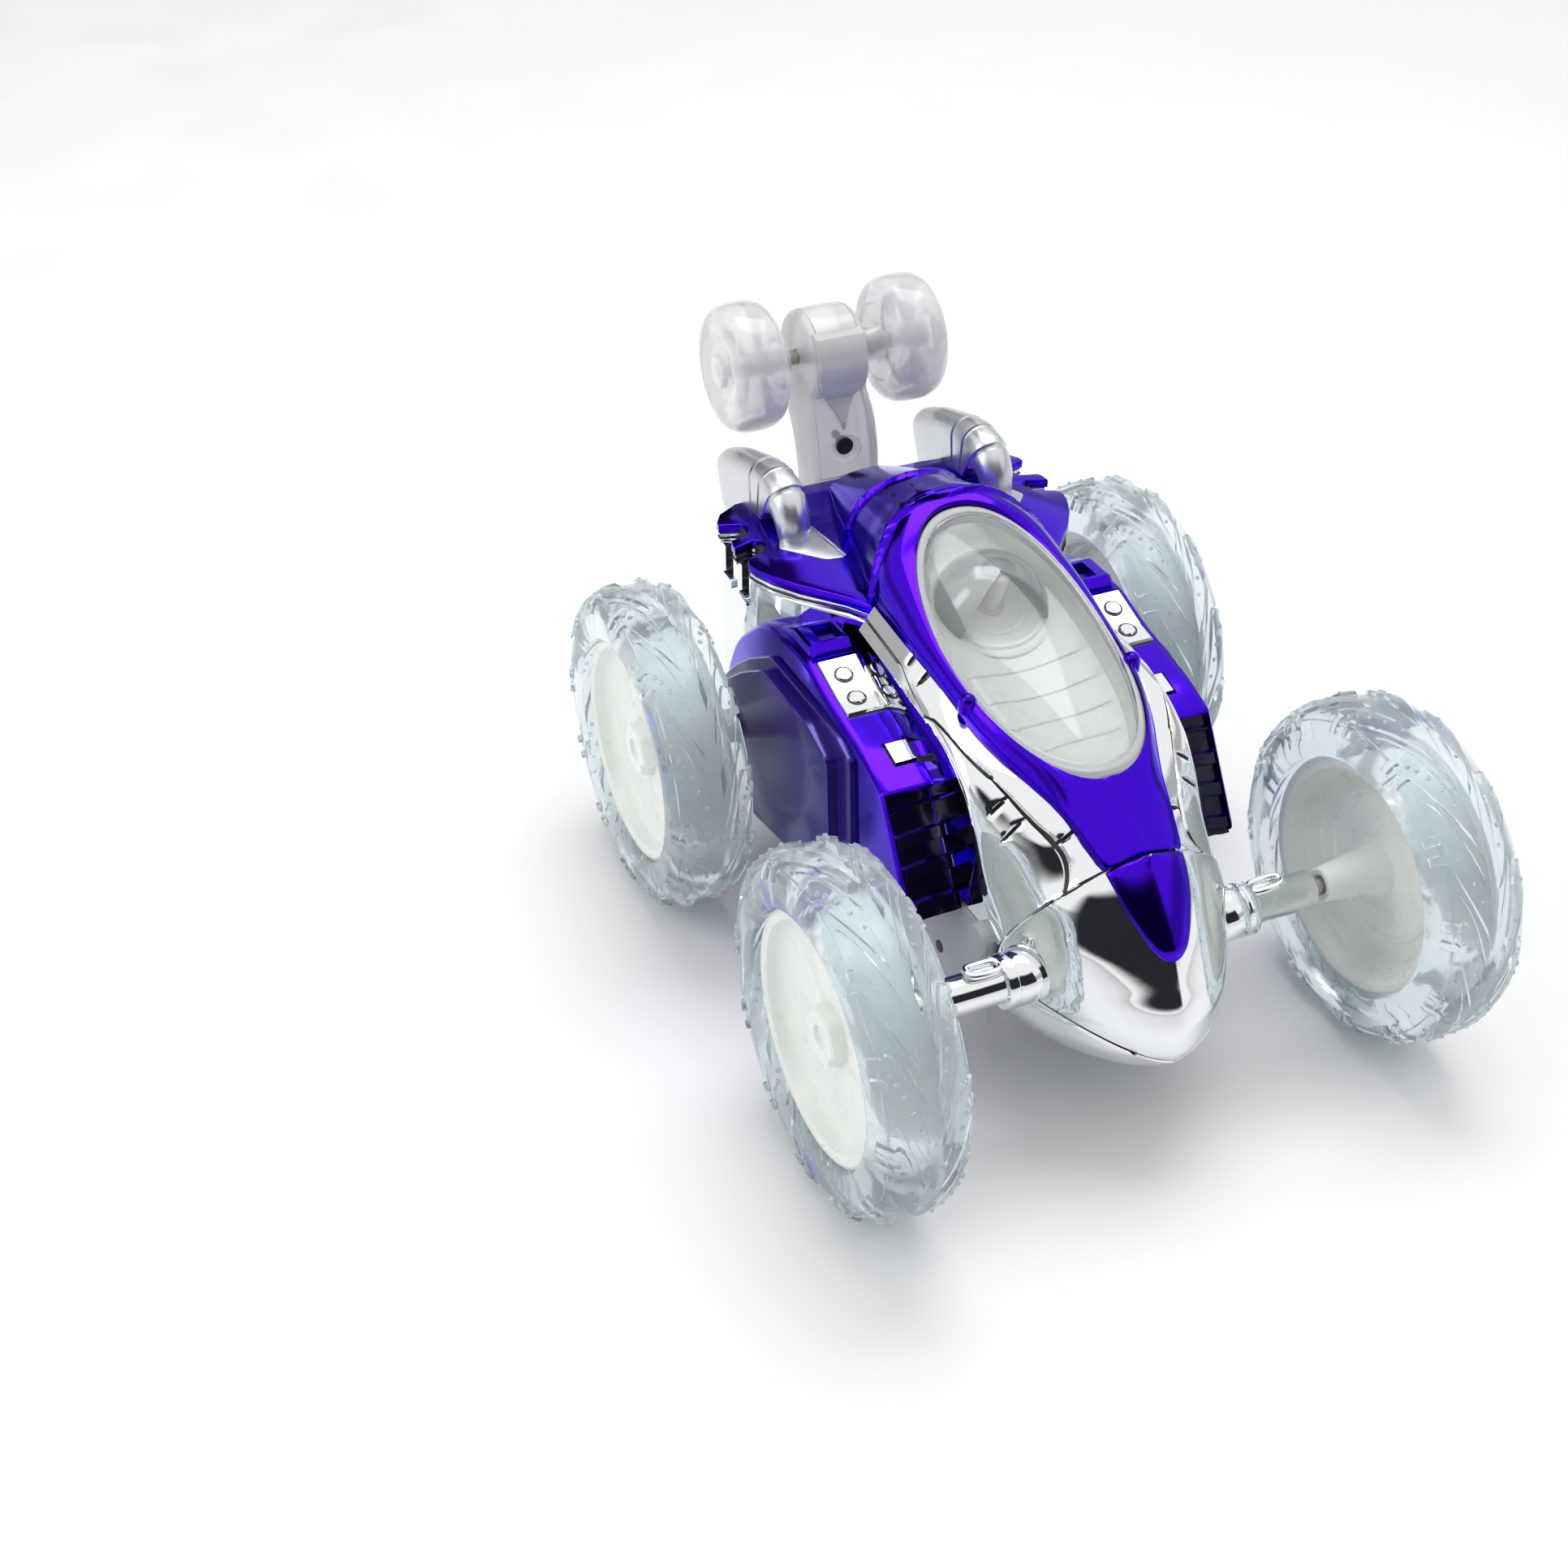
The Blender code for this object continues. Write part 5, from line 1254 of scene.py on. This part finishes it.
def make_badge(side, sign):
    under = draped(f"badge_gap_{side}", (34.2,) + BADGE_X[1:-1] + (20.9,),
                   (49.9, 50.4, 55.0, 60.0, 64.8, 65.1), sign, 0.14, BLACK)
    settle(under, "black")
    badge = draped(f"badge_{side}", BADGE_X, (50.5, 50.8, 51.2, 55.0, 55.5, 60.0, 64.1, 64.5, 64.7), sign,
                   BADGE_RISE, CHROME, edge=0.45)
    settle(badge, "chrome", f"pod_badge_{side}")
    for spot, (x, y) in enumerate(BADGE_STUDS):
        up = Vector(((pod_inset(x + 0.3) - pod_inset(x - 0.3)) / 0.6 * sign,
                     -(top_line(y + 1) - top_line(y - 1)) / 2, 1))
        up.normalize()
        ahead = Vector((0, 1, -up.y / up.z)).normalized()
        across = up.cross(ahead)
        middle = Vector((sign * x, y, top_line(y) - pod_inset(x))) + up * BADGE_RISE
        for kind, profile, look in (
                ("ring", [(-0.4, 1.62), (-0.4, 1.98), (0.16, 1.98), (0.16, 1.62)], BLACK),
                ("button", [(-0.4, 0), (-0.4, 1.6), (0.2, 1.6), (0.38, 1.4), (0.38, 0)], CHROME)):
            points, faces = revolve(profile, 40)
            placed = [tuple(middle + up * s + across * u + ahead * v) for s, u, v in points]
            piece = made(f"badge_{kind}_{side}_{spot}", placed, faces, look, smooth=28)
            settle(piece, "black" if kind == "ring" else "chrome")
    latch = loft(f"latch_{side}", tray_on_top(26.0, 30.4, 36.6, 41.3, -1.0, 0.35, sign), CHROME)
    settle(latch, "chrome", f"pod_latch_{side}")
    bit = loft(f"latch_catch_{side}", tray_on_top(22.2, 25.3, 37.4, 40.9, -2.6, -0.45, sign), CHROME)
    settle(bit, "chrome")
    bed = loft(f"latch_bed_{side}", tray_on_top(21.8, 30.9, 36.1, 41.8, -2.4, -0.8, sign), BLACK)
    settle(bed, "black")


# ---- rear: walls, deck and exhausts ----
DECK_Z = (74.2, 76.2)
DECK_WING = (
    (20.9, 67.2), (23.8, 72.3), (27.3, 76.5), (30.9, 80.7), (34.1, 85.7), (36.0, 90.2), (36.4, 92.4),
    (35.7, 94.3), (31.6, 96.2), (30.2, 98.0), (30.6, 100.0), (31.8, 100.7), (36.5, 99.1), (36.3, 101.4),
    (35.8, 102.5), (32.3, 103.4), (31.4, 104.6), (31.2, 106.6), (31.6, 107.8), (35.9, 109.3), (35.7, 110.7),
    (33.9, 113.6), (29.2, 116.4), (14.7, 117.9),
)
DECK_INSET = ((17.6, 86.6), (21.4, 87.2), (28.4, 95.2), (26.8, 98.6), (19.2, 100.6))
DECK_INNER = ((8.8, 113.3), (11.4, 103.0), (13.4, 93.0), (15.0, 85.0), (16.8, 78.0), (18.6, 72.0))


REAR_PLAN = ((20.4, 67.6), (23.6, 71.9), (27.0, 76.1), (30.6, 80.4), (33.2, 85.6), (34.9, 91.0),
             (34.9, 110.6), (29.0, 115.9), (14.7, 115.9), (14.7, 112.0), (18.6, 74.0))
# Strips under the deck's edge: how far out they stand, their heights and their look
TRIM = ((-0.35, 73.95, 74.25, BLACK), (0.35, 73.1, 73.95, CHROME), (-0.2, 72.8, 73.1, BLACK),
        (0.6, 71.6, 72.8, CHROME))
TRIM_INNER = ((14.7, 112.0), (20.0, 72.0))


def whole_outline(wing, inner):
    """Both halves of an outline from its left one: wing is its outside and inner the notch behind."""
    outline = list(wing) + [(-x, y) for x, y in reversed(wing)]
    return outline + [(-x, y) for x, y in reversed(inner)] + list(inner)


def make_rear():
    deck = prism("deck", whole_outline(DECK_WING, DECK_INNER), DECK_Z[0], DECK_Z[1], "Z", PURPLE, edge=0.3,
                 smooth=24)
    settle(deck, "purple", "rear_deck")

    # Two chrome steps under the deck's edge, with black gaps between
    for index, (out, low, high, look) in enumerate(TRIM):
        for side, sign in SIDES:
            ring = shrink(DECK_WING + TRIM_INNER, -out)
            trim = prism(f"deck_trim_{index}_{side}", [(sign * x, y) for x, y in ring], low, high, "Z", look,
                         edge=0.12 if look is CHROME else 0.0, smooth=24)
            settle(trim, "black" if look is BLACK else "chrome")

    plan = rounded(REAR_PLAN, 1.2, 4)
    for side, sign in SIDES:
        walls = prism(f"rear_walls_{side}", [(sign * x, y) for x, y in plan], BODY_FLOOR, 71.7, "Z", CHROME,
                      smooth=24)
        hollow = [(18.0, 60.0), (24.3, 60.0), (24.3, 113.0), (18.0, 113.0)]
        around_pod = rounded(shrink(POD_SIDE, -0.3), POD_CORNERS, 4)
        cutters = [prism("under_pod", around_pod, *sorted((sign * 24.3, sign * 45.0)), "X", body=None),
                   prism("under_hump", shrink(HUMP_SIDE, -0.3), *sorted((sign * 24.6, sign * 34.6)), "X",
                         body=None),
                   prism("inside", [(sign * x, y) for x, y in hollow], 30.0, 70.5, "Z", body=None)]
        for spot, (low, high) in enumerate(((95.6, 99.4), (103.9, 108.0))):
            cutters.append(box(f"notch_{spot}", (sign * 31.4, low, 65.5), (sign * 40.0, high, 80.0),
                               body=None))
        cut(walls, cutters, smooth=24)
        settle(walls, "chrome", "rear_housing")
        for spot, (low, high) in enumerate(((95.7, 99.5), (103.5, 108.1))):
            pit = box(f"notch_lining_{side}_{spot}", (sign * 28.5, low, 65.8), (sign * 31.9, high, 75.6),
                      BLACK, edge=0.15)
            settle(pit, "black")
            corners = ((31.0, low), (35.6, low), (35.6, high), (31.0, high))
            ledge = prism(f"notch_ledge_{side}_{spot}", [(sign * x, y) for x, y in corners], 64.0, 65.9, "Z",
                          CHROME, edge=0.2)
            settle(ledge, "chrome")
    back = box("rear_back_wall", (-28.0, 113.5, BODY_FLOOR), (28.0, 116.6, 73.9), CHROME, edge=0.3)
    settle(back, "chrome", "rear_housing")
    for side, sign in SIDES:
        boss = turned(f"chassis_boss_{side}", [(-1.0, 0), (-1.0, 3.4), (1.3, 3.4), (1.7, 3.0), (1.8, 0)],
                      (sign * 23.8, 11.5, 35.6), "X", CHASSIS, flip=sign)
        settle(boss, "chassis")
        dot = turned(f"chassis_hole_{side}", [(-0.5, 0), (-0.5, 1.3), (0.3, 1.3), (0.3, 0)],
                     (sign * 23.9, 27.5, 21.5), "X", BLACK, sides=24, flip=sign)
        settle(dot, "black")
        inset = [(sign * x, y) for x, y in DECK_INSET]
        panel = prism(f"deck_inset_{side}", rounded(inset, 0.8, 3), 75.9, 76.45, "Z", SILVER, edge=0.15)
        settle(panel, "silver")
        line = tube_along(f"deck_inset_line_{side}",
                          [(sign * 17.2, 86.8, 76.4), (sign * 17.9, 93.0, 76.5), (sign * 18.9, 100.4, 76.4)],
                          0.35, CHROME)
        settle(line, "chrome")
        make_exhaust(side, sign)


# y, z, rise of the hose in degrees, half-width, half-height above and below its middle line
EXHAUST = (
    (98.4, 75.4, 88, 3.5, 3.4, 3.4), (98.7, 77.6, 84, 3.8, 3.7, 3.7), (99.6, 80.2, 68, 4.1, 3.9, 4.4),
    (101.4, 82.4, 46, 4.3, 4.0, 6.0), (104.4, 84.1, 20, 4.4, 4.1, 8.2), (108.2, 84.4, 2, 4.4, 4.1, 8.4),
    (111.6, 83.9, -6, 4.3, 4.1, 8.0), (114.8, 83.0, -10, 4.2, 4.1, 8.0), (118.6, 81.9, -10, 4.1, 4.1, 8.4),
    (123.0, 80.6, -12, 4.0, 4.1, 9.4), (127.2, 78.9, -16, 3.9, 4.0, 9.6), (130.4, 77.6, -20, 3.7, 3.7, 9.4),
    (131.8, 76.8, -24, 3.2, 2.9, 8.4),
)
EXHAUST_X, EXHAUST_RINGS = 23.6, (102.6, 107.0, 111.8)


def make_exhaust(side, sign):
    rings = []
    stations = spread((98.4, 98.7, 102.0, 103.2, 106.4, 107.6, 111.2, 112.4, 130.4, 131.8),
                      (1, 8, 6, 5, 6, 5, 6, 12, 3))
    for y in stations:
        z, rise, half, above, below = curve(EXHAUST, y)
        cutin = 0.4 * max(groove(y - at, 0.4) for at in EXHAUST_RINGS)
        cutin += 0.12 * sum(y < at for at in EXHAUST_RINGS)
        turn, ring = math.radians(rise), []
        flat = ease(y, 100.5, 106.0)
        for step in range(40):
            around = 2 * math.pi * step / 40
            c, s = math.cos(around), math.sin(around)
            if s >= 0:
                across, up = (half - cutin) * c, (above - cutin) * s
            else:
                power = 2.0 + 6.0 * flat
                across = (half - cutin) * math.copysign(abs(c) ** (2 / power), c)
                up = -below * abs(s) ** (2 / power)
            ring.append((sign * EXHAUST_X + across, y - up * math.sin(turn), z + up * math.cos(turn)))
        rings.append(ring)
    piece = loft(f"exhaust_hose_{side}", rings, SILVER, smooth=40)
    settle(piece, "silver", f"exhaust_{side}")


# ---- tail ----
ARM_FRONT = ((50.0, 118.2), (65.0, 118.2), (71.5, 121.8), (79.8, 123.3), (85.5, 125.3), (90.5, 127.6))
ARM_BACK = ((50.0, 131.0), (70.0, 131.8), (79.0, 134.2), (86.0, 138.4))
ARM_HALF, ARM_TOP, HEAD_R, SCREW = 8.3, 90.5, 10.2, (0, 123.6, 80.0)


def make_tail():
    _, axle_y, axle_z = TAIL_AXLE
    front = [(curve(ARM_FRONT, z)[0], z) for z in spread((50.0, 64.0, ARM_TOP), (3, 26))]
    arc = [(axle_y + HEAD_R * math.cos(math.radians(a)), axle_z + HEAD_R * math.sin(math.radians(a)))
           for a in range(208, -60, -8)]
    back = [(curve(ARM_BACK, z)[0], z) for z in spread((86.0, 50.0), (18,))]
    outline = front + arc + back
    insets = ((ARM_HALF, 2.2), (8.15, 1.5), (7.8, 0.9), (7.2, 0.45), (6.4, 0.2), (6.2, 0.5), (6.0, 0.15),
              (4.6, 0.04), (0.0, 0.0))
    stations = [(x, inset) for x, inset in insets] + [(-x, inset) for x, inset in reversed(insets[:-1])]
    rings = [[(x * (1 - 0.22 * ease(z, 84.0, 97.0)), y, z) for y, z in shrink(outline, inset)]
             for x, inset in stations]
    arm = loft("tail_arm", rings, FROSTED, smooth=40)
    dish = turned("screw_dish", [(-6, 0), (-6, 3.6), (0.0, 3.6), (0.5, 2.9), (0.8, 1.8), (0.9, 0)], SCREW,
                  "Y", [], sides=40, body=None)
    hole = turned("screw_hole", [(-6, 0), (-6, 1.7), (3.0, 1.5), (3.0, 0)], SCREW, "Y", [], sides=24,
                  body=None)
    bore = turned("tail_bore", [(-20, 0), (-20, 1.9), (20, 1.9), (20, 0)], TAIL_AXLE, "X", [], sides=32,
                  body=None)
    seam = box("panel_seam", (-9.0, 115.0, 73.6), (9.0, 122.9, 73.9), body=None)
    cut(arm, [dish, hole, bore, seam], smooth=40)
    plug = turned("tail_screw_shadow", [(0.95, 0), (0.95, 1.66), (2.8, 1.5), (2.8, 0)], SCREW, "Y", BLACK,
                  sides=24)
    settle(plug, "black")
    settle(arm, "frosted", "tail_arm_front", "tail_arm_back")

    shield = []
    for z in spread((83.6, 97.0, 105.0), (8, 6)):
        share = ease(z, 83.6, 96.0)
        half = 0.3 + 5.6 * share
        on_head = axle_y - math.sqrt(max(0.0, HEAD_R**2 - (z - axle_z) ** 2))
        y = curve(ARM_FRONT, z)[0] if z < ARM_TOP else on_head
        shield.append([(half * t, y, z) for t in (-1, -0.93, -0.6, 0, 0.6, 0.93, 1)])
    lift = [[-0.2 if abs(j - 3) == 3 or i in (0, len(shield) - 1) else 0.75 + 0.2 * (j == 3)
             for j in range(7)] for i in range(len(shield))]
    ridge = shell("tail_shield", shield, lift, 0.6, (0, 140, 85), FROSTED, smooth=28)
    settle(ridge, "frosted")

    for side, sign in SIDES:
        centre = (sign * TAIL_WHEEL_X, axle_y, axle_z)
        profile = [(4.3, 0), (4.3, 1.9), (-9.6, 1.9), (-9.6, 3.3), (-9.3, 3.6), (-6.3, 3.75), (-5.6, 4.4),
                   (-5.35, 6.6), (-5.6, 8.2)]
        for step in range(25):
            turn = math.pi - math.pi * step / 24
            c, s = math.cos(turn), math.sin(turn)
            profile.append((6.15 * math.copysign(abs(c) ** (2 / 2.8), c),
                            8.0 + 5.8 * abs(s) ** (2 / 2.8) + 0.6 * (1 - abs(s))))
        profile += [(5.5, 7.4), (5.0, 6.6), (4.9, 5.0), (5.2, 4.2), (5.3, 3.7), (6.2, 3.5), (6.5, 3.2),
                    (6.6, 2.7), (6.6, 0)]
        points, faces = revolve(profile, 72)
        wheel = made(f"small_wheel_skin_{side}", shift(points, sign, centre), faces, TAIL_CLEAR,
                     f"small_wheel_{side}", smooth=40, origin=centre)
        settle(wheel, "frosted", f"tail_wheel_{side}")


make_wheels()
make_nose()
make_axle_beam()
make_flanks()
make_spine()
make_cockpit()
for SIDE, SIGN in SIDES:
    make_pod(SIDE, SIGN)
make_rear()
make_tail()
